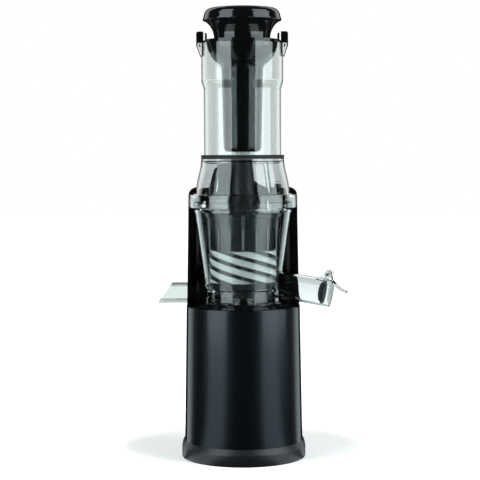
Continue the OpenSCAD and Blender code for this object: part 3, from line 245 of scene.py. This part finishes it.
class Shader:
    """A node tree of a material or world, and the nodes that finishes share."""

    def __init__(self, tree):
        self.tree = tree
        tree.nodes.clear()

    def add(self, kind, options=None, values=None, out=0):
        """Adds a node: its settings are set first, then its sockets' values or links."""
        node = self.tree.nodes.new("ShaderNode" + kind)
        for key, value in (options or {}).items():
            setattr(node, key, value)
        for key, value in (values or {}).items():
            if isinstance(value, Wire):
                self.tree.links.new(value.socket, node.inputs[key])
            elif value is not None:
                node.inputs[key].default_value = value
        return None if out is None else Wire(self, node.outputs[out])

    def place(self, stretch=(1.0, 1.0, 1.0)):
        """Places on the object, in metres, stretched for a pattern's direction."""
        spot = self.add("TexCoord", out="Object")
        return self.add("VectorMath", {"operation": "MULTIPLY"}, {0: spot, 1: stretch})

    def noise(self, size, detail=2.0, rough=0.5, stretch=(1.0, 1.0, 1.0)):
        """Soft noise whose features are about a size, in metres."""
        return self.add("TexNoise", None, {
            "Vector": self.place(stretch), "Scale": 1.0 / size, "Detail": detail, "Roughness": rough})

    def cells(self, size):
        """Distance to scattered points about a size apart."""
        return self.add("TexVoronoi", None, {"Vector": self.place(), "Scale": 1.0 / size}, "Distance")

    def parts(self, vector):
        """The x, y and z of a vector."""
        outs = self.add("SeparateXYZ", None, {0: vector}).socket.node.outputs
        return [Wire(self, outs[axis]) for axis in "XYZ"]

    def band(self, value, low, high):
        """0 below low, 1 over high, smooth between."""
        return self.add("MapRange", {"interpolation_type": "SMOOTHSTEP"}, {
            "Value": value, "From Min": low, "From Max": high, "To Min": 0.0, "To Max": 1.0})

    def between(self, value, edges, past=0.0):
        """0 below a span's four edges, 1 within them and another value past them."""
        start, full, fade, end = edges
        return self.band(value, start, full) * (1 - self.band(value, fade, end) * (1 - past))

    def mix(self, mask, first, second):
        """A colour between two, by a mask."""
        return self.add("Mix", {"data_type": "RGBA"}, {
            0: mask, 6: tint(first), 7: tint(second)}, out=2)

    def bump(self, height, depth):
        return self.add("Bump", None, {"Height": height, "Distance": depth, "Strength": 1.0})

    def principled(self, **values):
        return self.add("BsdfPrincipled", None, {
            key.replace("_", " "): value for key, value in values.items()})

    def finish(self, shader, kind="Material"):
        self.add("Output" + kind, None, {"Surface": shader}, out=None)


def tint(value):
    return value if isinstance(value, Wire) else (*value[:3], 1.0)


def shade(value, by):
    """A colour made lighter or darker by a factor."""
    return tuple(min(1.0, v * by) for v in value[:3])


def material(name):
    made = bpy.data.materials.new(name)
    made.use_nodes = True
    return made, Shader(made.node_tree)


# ---------- finishes ----------

def moulded_gloss(name, base):
    """High-gloss moulded plastic: faint orange peel, smudges, dust and hairline scratches."""
    made, s = material(name)
    smudge = s.band(s.noise(0.055, 3.0, 0.6), 0.45, 0.75)
    dust = 1 - s.band(s.cells(0.0042), 0.03, 0.075)
    hair = s.band(s.noise(0.0012, 1.0, 0.5, (1.0, 1.0, 0.04)), 0.66, 0.74)
    peeling = s.noise(0.0021, 1.0, 0.4)
    s.finish(s.principled(
        Base_Color=s.mix(dust * 0.22, base, (0.09, 0.09, 0.09)),
        Roughness=0.09 + smudge * 0.045 + dust * 0.16 + hair * 0.03,
        Normal=s.bump(peeling, 0.00002), IOR=1.5))
    return made


def moulded_satin(name, base, rough=0.42):
    """Spark-eroded satin plastic: fine leather-like grain and worn patches."""
    made, s = material(name)
    worn = s.band(s.noise(0.03, 3.0), 0.5, 0.8)
    grain = 0.0006
    grains = s.noise(grain, 2.0, 0.6)
    speck = 1 - s.band(s.cells(0.0035), 0.03, 0.08)
    s.finish(s.principled(
        Base_Color=s.mix(speck * 0.3, s.mix(worn * 0.35, base, shade(base, 1.5)), shade(base, 3.0)),
        Roughness=rough - worn * 0.08 + grains * 0.08,
        Normal=s.bump(grains, grain * 0.06), IOR=1.48))
    return made


def lacquered_metal(name, base):
    """Satin lacquer on sheet steel: fine upright brushing under a smooth clear coat."""
    made, s = material(name)
    brush = s.noise(0.0011, 3.0, 0.6, (1.0, 1.0, 0.02))
    drift = s.noise(0.04, 2.0)
    dust = 1 - s.band(s.cells(0.0048), 0.025, 0.06)
    s.finish(s.principled(
        Base_Color=s.mix(dust * 0.25, s.mix(brush, shade(base, 0.85), shade(base, 1.15)), (0.16, 0.16, 0.16)),
        Metallic=0.95, Roughness=0.27 + brush * 0.05 + drift * 0.04 + dust * 0.1,
        Normal=s.bump(brush, 0.000012), Coat_Weight=0.25, Coat_Roughness=0.12, IOR=1.5))
    return made


def see_through(name, tone, rough=0.015):
    """Clear moulded plastic. Rays from lamps pass straight through it, tinted."""
    made, s = material(name)
    flow = s.noise(0.03, 1.5, 0.4)
    haze = s.band(s.noise(0.02, 3.0, 0.6), 0.5, 0.85)
    speck = 1 - s.band(s.cells(0.005), 0.02, 0.05)
    body = s.principled(
        Base_Color=s.mix(speck * 0.12, tone, (0.8, 0.8, 0.8)),
        Roughness=rough + haze * 0.03 + speck * 0.1,
        Normal=s.bump(flow, 0.00012), IOR=1.49, Transmission_Weight=1.0)
    lamp = s.add("BsdfTransparent", None, {"Color": tint(shade(tone, 0.9))})
    ray = s.add("LightPath", out="Is Shadow Ray")
    s.finish(s.add("MixShader", None, {0: ray, 1: body, 2: lamp}))
    return made


def ribbed_frame(name, tone, ribs):
    """Dark translucent moulded plastic whose proud upright ribs carry a painted highlight: their outer faces
    are painted paler.
    """
    made, s = material(name)
    x, y, _ = s.parts(s.place())
    proud = s.between((x * x + y * y) ** 0.5, ribs.faces)
    flow = s.noise(0.02, 1.5, 0.4)
    s.finish(s.principled(
        # painted highlight: the proud outer faces of the ribs are painted pale
        Base_Color=s.mix(proud, tone, ribs.painted_highlight), Roughness=0.14 + flow * 0.06,
        Normal=s.bump(flow, 0.0001), IOR=1.49, Transmission_Weight=0.4))
    return made


def brushed_steel(name, base, rough=0.24, stretch=(1.0, 1.0, 0.03), shine=1.0):
    """Stainless steel with a fine grain and a few deeper marks."""
    made, s = material(name)
    grain = s.noise(0.0009, 3.0, 0.65, stretch)
    cloud = s.noise(0.02, 2.0)
    s.finish(s.principled(
        Base_Color=s.mix(grain, shade(base, 0.9), shade(base, 1.05)),
        Metallic=shine, Roughness=rough + grain * 0.1 + cloud * 0.06,
        Normal=s.bump(grain, 0.000008)))
    return made


def cast_metal(name, base, rough=0.45):
    """Die-cast or sintered metal: shallow pits and a dull skin."""
    made, s = material(name)
    pits = s.band(s.cells(0.0016), 0.02, 0.3)
    cloud = s.noise(0.012, 3.0)
    s.finish(s.principled(
        Base_Color=s.mix(cloud, shade(base, 0.82), shade(base, 1.1)),
        Metallic=0.9, Roughness=rough + cloud * 0.15, Normal=s.bump(pits, 0.00006)))
    return made


def soft_rubber(name, base):
    """Rubber or silicone: a fine matt bloom over small dimples."""
    made, s = material(name)
    bloom = s.band(s.noise(0.012, 4.0, 0.6), 0.4, 0.8)
    dimple = s.noise(0.0008, 2.0, 0.5)
    s.finish(s.principled(
        Base_Color=s.mix(bloom * 0.5, base, shade(base, 1.5)),
        Roughness=0.62 + bloom * 0.15, Normal=s.bump(dimple, 0.00003), IOR=1.43))
    return made


def plain_plastic(name, base, rough=0.4):
    """Natural moulded plastic of the inner pieces."""
    made, s = material(name)
    flow = s.noise(0.01, 3.0, 0.6)
    fine = s.noise(0.0007, 2.0)
    s.finish(s.principled(
        Base_Color=s.mix(flow, shade(base, 0.93), shade(base, 1.05)),
        Roughness=rough + flow * 0.12, Normal=s.bump(fine, 0.00002), IOR=1.5))
    return made


def circuit_board(name, base):
    """Lacquered board with copper tracks under it."""
    made, s = material(name)
    track = s.add("TexBrick", {"offset": 0.35}, {
        "Vector": s.place(), "Scale": 150.0, "Mortar Size": 0.05,
        "Color1": tint(BLACK), "Color2": tint(BLACK), "Mortar": tint(WHITE)}, out="Fac")
    s.finish(s.principled(
        Base_Color=s.mix(track * 0.6, base, shade(base, 2.2)),
        Roughness=0.3 + s.noise(0.003) * 0.1, Normal=s.bump(track, 0.00003), IOR=1.5))
    return made


def wound_iron(name, iron, copper):
    """Laminated iron core with copper windings at its ends."""
    made, s = material(name)
    middle = 0.068  # height of the core's middle over the table
    height = s.parts(s.place())[2] - middle
    # squares of metres, brought near one
    ends = s.band(height * height * 1000.0, 0.28, 0.34)
    sheets = s.noise(0.0005, 1.0, 0.5, (0.02, 0.02, 1.0))
    s.finish(s.principled(
        Base_Color=s.mix(ends, s.mix(sheets, shade(iron, 0.7), iron), copper),
        Metallic=0.85, Roughness=0.36 + sheets * 0.15, Normal=s.bump(sheets, 0.00005)))
    return made


def printed_ink(name, base):
    """Pad-printed ink, a little uneven."""
    made, s = material(name)
    thin = s.noise(0.0006, 2.0)
    s.finish(s.principled(
        Base_Color=s.mix(thin, shade(base, 0.86), base), Roughness=0.4 + thin * 0.15,
        Normal=s.bump(thin, 0.000008)))
    return made


_made = {}


def finish(name):
    """The material of a finish, made once."""
    c = settings().colours
    makers = {
        "gloss_black": lambda n: moulded_gloss(n, c.gloss),
        "satin_black": lambda n: moulded_satin(n, c.satin),
        "foot_black": lambda n: moulded_satin(n, c.foot, 0.36),
        "front_panel": lambda n: lacquered_metal(n, c.panel),
        "smoky_plastic": lambda n: see_through(n, c.smoky),
        "dome_plastic": lambda n: see_through(n, shade(c.smoky, 0.88)),
        "clear_plastic": lambda n: see_through(n, c.clear, 0.01),
        "dark_translucent": lambda n: ribbed_frame(n, c.dusk, settings().ribs),
        "witness_line": lambda n: moulded_satin(n, (0.17, 0.19, 0.195), 0.35),
        # painted light: the sieve's steel is painted lighter and partly matt, standing in for light lost
        # through the smoky bowl
        "lightened_sieve_steel": lambda n: brushed_steel(n, shade(c.steel, 1.5), 0.45, shine=0.7),
        # painted light: the pin's steel is painted lighter and partly matt, where it would mirror the dark
        # studio
        "pin_steel": lambda n: brushed_steel(n, shade(c.steel, 1.4), 0.5, shine=0.5),
        "turned_steel": lambda n: brushed_steel(n, c.steel, 0.16, (0.05, 0.05, 1.0)),
        "plain_steel": lambda n: brushed_steel(n, shade(c.steel, 0.9), 0.34),
        "cast_alloy": lambda n: cast_metal(n, (0.36, 0.37, 0.38)),
        "sintered_bronze": lambda n: cast_metal(n, (0.52, 0.34, 0.16), 0.38),
        "acetal": lambda n: plain_plastic(n, (0.68, 0.66, 0.58)),
        "inner_plastic": lambda n: plain_plastic(n, (0.05, 0.051, 0.054), 0.45),
        "board": lambda n: circuit_board(n, (0.02, 0.11, 0.045)),
        "wound_core": lambda n: wound_iron(n, (0.22, 0.21, 0.2), (0.6, 0.26, 0.1)),
        "ferrite": lambda n: cast_metal(n, (0.06, 0.06, 0.065), 0.6),
        "rubber": lambda n: soft_rubber(n, c.rubber),
        "deep_rubber": lambda n: soft_rubber(n, shade(c.rubber, 0.2)),
        "white_ink": lambda n: printed_ink(n, (0.82, 0.83, 0.83)),
    }
    if name not in _made:
        _made[name] = makers[name](name)
    return _made[name]


def dress(**nodes_of):
    """Gives CAD nodes their finish: finish name = list of nodes."""
    for name, nodes in nodes_of.items():
        for node in nodes:
            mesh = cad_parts[node].data
            mesh.materials.clear()
            mesh.materials.append(finish(name))


def piece(name, made, body, skin, replaces=()):
    """Turns a bmesh into a named piece that rides on a body."""
    mesh = bpy.data.meshes.new(name)
    made.to_mesh(mesh)
    made.free()
    item = bpy.data.objects.new(name, mesh)
    bpy.context.scene.collection.objects.link(item)
    mesh.materials.append(finish(skin))
    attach(item, body)
    if replaces:
        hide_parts(*replaces)


# ---------- the foot ring, the sieve and the marks ----------

def turned(x, z, radius, start, end, steps):
    """Points of an arc in a profile of radius and height."""
    return [(x + radius * math.cos(math.radians(a)), z + radius * math.sin(math.radians(a)))
            for a in (start + (end - start) * k / steps for k in range(steps + 1))]


def led_round(profile, back, steps=72):
    """A closed profile led round the body's plan: half round, straight sides, half round."""
    made = bmesh.new()
    sharp = math.radians(32)
    plan = [(math.pi + math.pi * k / steps, 0.0) for k in range(steps + 1)]
    plan += [(math.pi * k / steps, back) for k in range(steps + 1)]
    rings = [[made.verts.new((r * math.cos(a), y + r * math.sin(a), z)) for r, z in profile] for a, y in plan]
    for here, after in zip(rings, rings[1:] + rings[:1]):
        for k in range(len(profile)):
            n = (k + 1) % len(profile)
            made.faces.new([here[k], after[k], after[n], here[n]])
    bmesh.ops.recalc_face_normals(made, faces=made.faces)
    for face in made.faces:
        face.smooth = True
    for line in made.edges:
        line.smooth = len(line.link_faces) == 2 and line.calc_face_angle(0.0) < sharp
    return made


def perforated_sleeve(low, high, radius, sizes):
    """A thin tube of staggered octagonal holes, skinned inside and out."""
    made = bmesh.new()
    margin, wall = sizes.margin, sizes.wall
    row_h = (high - low - 2 * margin) / sizes.rows
    step = 2 * math.pi / sizes.around
    ring = 8
    fine = 96  # parts of a step by which places round the axis are told apart
    cache = {}

    def vert(turn, z, r):
        """One vertex for each place: faces of neighbouring cells share it."""
        key = (round(turn / step * fine) % (fine * sizes.around), round(z * 1e7), round(r * 1e7))
        if key not in cache:
            cache[key] = made.verts.new((r * math.cos(turn), r * math.sin(turn), z))
        return cache[key]

    def cell(a, z):
        """The sheet round one hole, outside and inside, and the hole's own wall."""
        half_a, half_z = step / 2, row_h / 2
        outline = [(1, 0), (1, 1), (0, 1), (-1, 1), (-1, 0), (-1, -1), (0, -1), (1, -1)]
        for r, flip in ((radius, False), (radius - wall, True)):
            outer = [vert(a + u * half_a, z + v * half_z, r) for u, v in outline]
            hole = [vert(a + sizes.hole / 2 / radius * math.cos(k * math.pi / 4),
                         z + sizes.hole / 2 * math.sin(k * math.pi / 4), r) for k in range(ring)]
            for k in range(ring):
                loop = [outer[k], outer[(k + 1) % ring], hole[(k + 1) % ring], hole[k]]
                made.faces.new(loop[::-1] if flip else loop)
            if flip:
                inner_hole = hole
            else:
                outer_hole = hole
        for k in range(ring):
            n = (k + 1) % ring
            made.faces.new([outer_hole[k], outer_hole[n], inner_hole[n], inner_hole[k]])

    for row in range(sizes.rows):
        z = low + margin + (row + 0.5) * row_h
        for i in range(sizes.around):
            cell((i + 0.5 * (row % 2)) * step, z)
    # plain margins at both ends, with their edges
    for z0, z1 in ((low, low + margin), (high - margin, high)):
        for i in range(2 * sizes.around):
            a, b = i * step / 2, (i + 1) * step / 2
            for r, flip in ((radius, False), (radius - wall, True)):
                loop = [vert(a, z0, r), vert(b, z0, r), vert(b, z1, r), vert(a, z1, r)]
                made.faces.new(loop[::-1] if flip else loop)
            z = z0 if z0 == low else z1
            loop = [vert(a, z, radius), vert(b, z, radius),
                    vert(b, z, radius - wall), vert(a, z, radius - wall)]
            made.faces.new(loop[::-1] if z0 == low else loop)
    bmesh.ops.recalc_face_normals(made, faces=made.faces)
    for face in made.faces:
        face.smooth = True
    return made


def wrapped_plate(made, outline, radius, turn, z, marks):
    """A thin plate of a flat outline, bent round the axis and facing outward."""
    rings = []
    for r in (radius - marks.sunk, radius + marks.depth):
        rings.append([made.verts.new((
            r * math.cos(turn + u / radius), r * math.sin(turn + u / radius), z + v)) for u, v in outline])
    back, front = rings
    n = len(outline)
    made.faces.new(front)
    made.faces.new(back[::-1])
    for k in range(n):
        made.faces.new([back[k], back[(k + 1) % n], front[(k + 1) % n], front[k]])


def padlock(width):
    """Outlines of an open padlock: its case and its raised shackle."""
    w = width / 2
    h = width * 0.62
    case = [(-w, 0), (w, 0), (w, h), (-w, h)]
    t = width * 0.15
    r = width * 0.28
    cx, cy = w * 0.62, h + width * 0.3
    arch = [(r * math.cos(a), r * math.sin(a)) for a in (math.pi * k / 8 for k in range(9))]
    outer = [(cx + x, cy + y) for x, y in arch]
    inner = [(cx + x * (1 - t / r), cy + y * (1 - t / r)) for x, y in reversed(arch)]
    shackle = outer + [(cx - r, h)] + [(cx - r + t, h)] + inner
    return case, shackle


# ---------- operators ----------

class JUICER_OT_stage(bpy.types.Operator):
    """Floor, softboxes, surroundings and camera"""
    bl_idname = "juicer.stage"
    bl_label = "Stage"

    def execute(self, context):
        size = settings().stage
        scene = context.scene
        scene.view_settings.view_transform = "Standard"
        self.camera(scene, size)
        self.floor(scene, size)
        self.softbox(scene, size, "left", size.left_turn, size.left_wide)
        self.softbox(scene, size, "right", size.right_turn, size.right_wide)
        self.surroundings(scene, size)
        return {"FINISHED"}

    def camera(self, scene, size):
        camera = bpy.data.cameras.new("camera")
        camera.lens = size.lens
        camera.sensor_width = 36.0
        camera.clip_start = 0.01
        eye = bpy.data.objects.new("camera", camera)
        scene.collection.objects.link(eye)
        eye.matrix_world = (
            Matrix.Translation((-size.aside, -size.distance, size.eye))
            @ Matrix.Rotation(math.pi / 2 - size.pitch, 4, "X")
            @ Matrix.Rotation(size.roll, 4, "Z"))
        scene.camera = eye

    def floor(self, scene, size):
        half = size.floor_size / 2
        made = bmesh.new()
        made.faces.new([made.verts.new((x * half, y * half, 0.0))
                        for x, y in ((-1, -1), (1, -1), (1, 1), (-1, 1))])
        mesh = bpy.data.meshes.new("floor")
        made.to_mesh(mesh)
        made.free()
        floor = bpy.data.objects.new("floor", mesh)
        scene.collection.objects.link(floor)
        mesh.materials.append(self.floor_skin(size))

    def floor_skin(self, size):
        """White to the camera outside a painted shadow round the juicer; mirrors see painted reflections of
        the dark studio and lamps.
        """
        skin, s = material("pale_floor")
        fine = s.noise(0.004, 2.0)
        across, back, _ = s.parts(s.place())
        _, mirror, fill = self.rays(s)
        # painted shadow: inside an ellipse round the juicer the floor's glow is painted lower; the lamps'
        # cast shadow lies within it
        deep = (back - size.shadow_back) * size.shadow_round
        away = (across * across + deep * deep) ** 0.5
        outside = s.band(away, size.shadow_reach * size.shadow_core, size.shadow_reach)
        lift = size.shadow_lift + (1 - size.shadow_lift) * outside
        lit = s.principled(
            Base_Color=s.mix(fine, (0.78, 0.78, 0.78), (0.8, 0.8, 0.8)), Roughness=0.7,
            Specular_IOR_Level=0.2, Normal=s.bump(fine, 0.00001),
            Emission_Color=s.mix(lift * (1 - fill), BLACK, WHITE), Emission_Strength=1.0)
        # a mirrored ray comes from the body's side, so its direction is taken from there
        aside = s.add("Math", {"operation": "ABSOLUTE"}, {0: across}) - size.start_aside
        rear = back + size.start_ahead
        behind = rear / (aside * aside + rear * rear) ** 0.5
        ahead = 0 - back / (across * across + back * back) ** 0.5
        # painted reflection: for mirrored rays the floor glows with the dark studio, the lit wall behind and
        # the softboxes seen again
        shine = size.box_glow * size.sheen
        most = size.dark + size.wall + shine
        level = size.dark + self.wall(s, size, behind) + s.between(ahead, size.sheen_span) * shine
        dim = s.principled(
            Base_Color=tint(BLACK), Specular_IOR_Level=0.0, Roughness=1.0,
            Emission_Color=s.mix(level * (1 / most), BLACK, size.lamp), Emission_Strength=most)
        s.finish(s.add("MixShader", None, {0: mirror, 1: lit, 2: dim}))
        return skin

    def rays(self, s):
        """Shares for what a ray did last: seen plainly or through clear pieces, mirrored, scattered."""
        outs = s.add("LightPath").socket.node.outputs
        camera, scattered, mirrored = (Wire(s, outs[n]) for n in (
            "Is Camera Ray", "Diffuse Depth", "Glossy Depth"))
        fill = (scattered > 0.5) * (1 - camera)
        mirror = (mirrored > 0.5) * (1 - fill) * (1 - camera)
        return 1 - fill - mirror, mirror, fill

    def wall(self, s, size, behind):
        """What mirrors see of the lit wall, by how far back a direction points."""
        inside = s.add("LightPath", out="Transmission Depth") > 0.5
        return s.between(behind, size.wall_span, inside * size.wall_inside) * size.wall

    def softbox(self, scene, size, side, turn, wide):
        lamp = bpy.data.lights.new("softbox_" + side, "AREA")
        lamp.shape = "RECTANGLE"
        lamp.size = wide
        lamp.color = size.lamp
        lamp.size_y = size.box_high
        lamp.energy = size.box_glow * math.pi * wide * size.box_high
        box = bpy.data.objects.new("softbox_" + side, lamp)
        scene.collection.objects.link(box)
        way = Vector((math.sin(turn), -math.cos(turn), 0.0))
        spot = way * size.box_away + Vector((0.0, 0.0, size.box_up))
        box.matrix_world = Matrix.Translation(spot) @ way.to_track_quat("Z", "Y").to_matrix().to_4x4()
        box.visible_camera = False

    def surroundings(self, scene, size):
        world = bpy.data.worlds.new("studio")
        world.use_nodes = True
        scene.world = world
        s = Shader(world.node_tree)
        behind = s.parts(s.add("TexCoord", out="Generated"))[1]
        straight, mirror, fill = self.rays(s)
        level = straight + mirror * (size.dark + self.wall(s, size, behind)) + fill * size.fill
        s.finish(s.add("Background", None, {"Color": tint(WHITE), "Strength": level}), "World")


class JUICER_OT_base(bpy.types.Operator):
    """Foot, panel, housing, deck and the fittings behind them"""
    bl_idname = "juicer.base"
    bl_label = "Base"

    def execute(self, context):
        dress(
            gloss_black=["rear_housing", "column_liner", "top_deck"],
            front_panel=["front_panel"],
            satin_black=["switch_frame", "power_rocker"],
            inner_plastic=["bottom_plate"],
            rubber=["non_slip_pad", "deck_seal", "cord_gland"],
            plain_steel=["bottom_screws"],
            board=["control_board", "lid_sensor"])
        self.foot(settings().foot)
        return {"FINISHED"}

    def foot(self, size):
        """The foot ring: an upright band, a sloping shoulder and the neck inside the body."""
        low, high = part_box("foot_ring")
        wide, back = high.x, high.y - high.x
        edge, soft = size.edge, size.soft
        profile = [(size.inner, size.lift), (wide - edge, size.lift)]
        profile += turned(wide - edge, size.lift + edge, edge, -90, 0, 3)
        profile += turned(wide - soft, size.band - soft / 2, soft, 0, math.degrees(size.lean), 4)
        profile += [(wide - size.slope, size.top), (size.neck, size.top)]
        profile += [(size.neck, high.z), (size.inner, high.z)]
        piece("foot_band", led_round(profile, back), "base", "foot_black", ["foot_ring"])


class JUICER_OT_drive(bpy.types.Operator):
    """Motor, gear train and output shaft"""
    bl_idname = "juicer.drive"
    bl_label = "Drive"

    def execute(self, context):
        dress(
            cast_alloy=["gearbox_case", "gearbox_cover", "motor_endcap"],
            plain_steel=["gear_axles", "gearbox_screws", "motor_can", "motor_bearings"],
            sintered_bronze=["output_bush", "motor_pinion"],
            ferrite=["motor_magnets"],
            wound_core=["rotor_core"],
            turned_steel=["rotor_shaft", "drive_shaft"],
            acetal=["cooling_fan", "first_gear", "second_gear", "output_gear"])
        return {"FINISHED"}


class JUICER_OT_bowl(bpy.types.Operator):
    """Bowl, outlets and the spout's cap"""
    bl_idname = "juicer.bowl"
    bl_label = "Bowl"

    def execute(self, context):
        dress(
            smoky_plastic=["juice_bowl", "spout_cap"],
            clear_plastic=["pulp_chute"],
            rubber=["bowl_seal", "pulp_plug", "cap_seal"],
            turned_steel=["spout_pin"])
        self.seams(settings().marks)
        return {"FINISHED"}

    def seams(self, marks):
        """Two fine witness lines of the mould down the bowl's front."""
        low, high = marks.seam_low, marks.seam_high
        made = bmesh.new()
        for x in (-marks.seam_gap / 2, marks.seam_gap / 2):
            rings = []
            for z, radius in ((low, marks.seam_foot), (high, marks.seam_rim)):
                rings.append([made.verts.new((x + u * marks.seam / 2, -radius - v * marks.depth, z))
                              for u, v in ((-1, -0.5), (1, -0.5), (1, 1), (-1, 1))])
            under, over = rings
            made.faces.new(under)
            made.faces.new(over[::-1])
            for k in range(4):
                n = (k + 1) % 4
                made.faces.new([under[k], over[k], over[n], under[n]])
        bmesh.ops.recalc_face_normals(made, faces=made.faces)
        piece("bowl_seams", made, "bowl", "witness_line")


class JUICER_OT_strainer(bpy.types.Operator):
    """Strainer frame and its perforated sieve"""
    bl_idname = "juicer.strainer"
    bl_label = "Strainer"

    def execute(self, context):
        low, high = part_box("strainer_sleeve")
        made = perforated_sleeve(low.z, high.z, high.x, settings().sieve)
        piece("sieve", made, "bowl", "lightened_sieve_steel", ["strainer_sleeve"])
        dress(dark_translucent=["strainer_frame"])
        return {"FINISHED"}


class JUICER_OT_auger(bpy.types.Operator):
    """Auger with its socket and pin"""
    bl_idname = "juicer.auger"
    bl_label = "Auger"

    def execute(self, context):
        dress(satin_black=["auger_screw"], turned_steel=["auger_socket"], pin_steel=["auger_pin"])
        return {"FINISHED"}


class JUICER_OT_hopper(bpy.types.Operator):
    """Locking ring with its marks, dome and feed tube"""
    bl_idname = "juicer.hopper"
    bl_label = "Hopper"

    def execute(self, context):
        dress(
            dome_plastic=["lid_ring", "feed_dome"],
            clear_plastic=["feed_tube"],
            deep_rubber=["feed_gasket"],
            rubber=["lid_gasket"],
            satin_black=["lid_magnet", "hopper_pins"])
        marks = settings().marks
        low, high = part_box("lid_ring")
        radius = high.x
        made = bmesh.new()
        turn = -math.pi / 2 - math.asin(marks.lock_side / radius)
        for outline in padlock(marks.lock):
            wrapped_plate(made, outline, radius, turn, low.z + marks.lock_up, marks)
        half = marks.tick_wide / 2
        tick = [(-half, 0.0), (half, 0.0), (half, marks.tick), (-half, marks.tick)]
        turn = -math.pi / 2 + math.asin(marks.tick_side / radius)
        wrapped_plate(made, tick, radius, turn, low.z + marks.tick_up, marks)
        piece("ring_marks", made, "hopper", "white_ink")
        return {"FINISHED"}


class JUICER_OT_pusher(bpy.types.Operator):
    """Pusher with its cap and ears"""
    bl_idname = "juicer.pusher"
    bl_label = "Pusher"

    def execute(self, context):
        dress(gloss_black=["pusher_cap", "pusher_collar", "pusher_body"])
        return {"FINISHED"}


class JUICER_PT_pieces(bpy.types.Panel):
    """Lists the steps that dress the juicer"""
    bl_idname = "JUICER_PT_pieces"
    bl_label = "Juicer"
    bl_space_type = "VIEW_3D"
    bl_region_type = "UI"
    bl_category = "Juicer"

    def draw(self, context):
        for step in STEPS:
            self.layout.operator(step.bl_idname)


STEPS = (
    JUICER_OT_stage, JUICER_OT_base, JUICER_OT_drive, JUICER_OT_bowl, JUICER_OT_strainer,
    JUICER_OT_auger, JUICER_OT_hopper, JUICER_OT_pusher)
CLASSES = (
    StageSizes, Colours, FootSizes, RibSizes, SieveSizes, MarkSizes, JuicerSettings, *STEPS, JUICER_PT_pieces)


def register():
    for item in CLASSES:
        bpy.utils.register_class(item)
    bpy.types.Scene.juicer = PointerProperty(type=JuicerSettings)


def unregister():
    del bpy.types.Scene.juicer
    for item in reversed(CLASSES):
        bpy.utils.unregister_class(item)


def main():
    register()
    for step in STEPS:
        group, name = step.bl_idname.split(".")
        getattr(getattr(bpy.ops, group), name)()


if __name__ == "__main__":
    main()
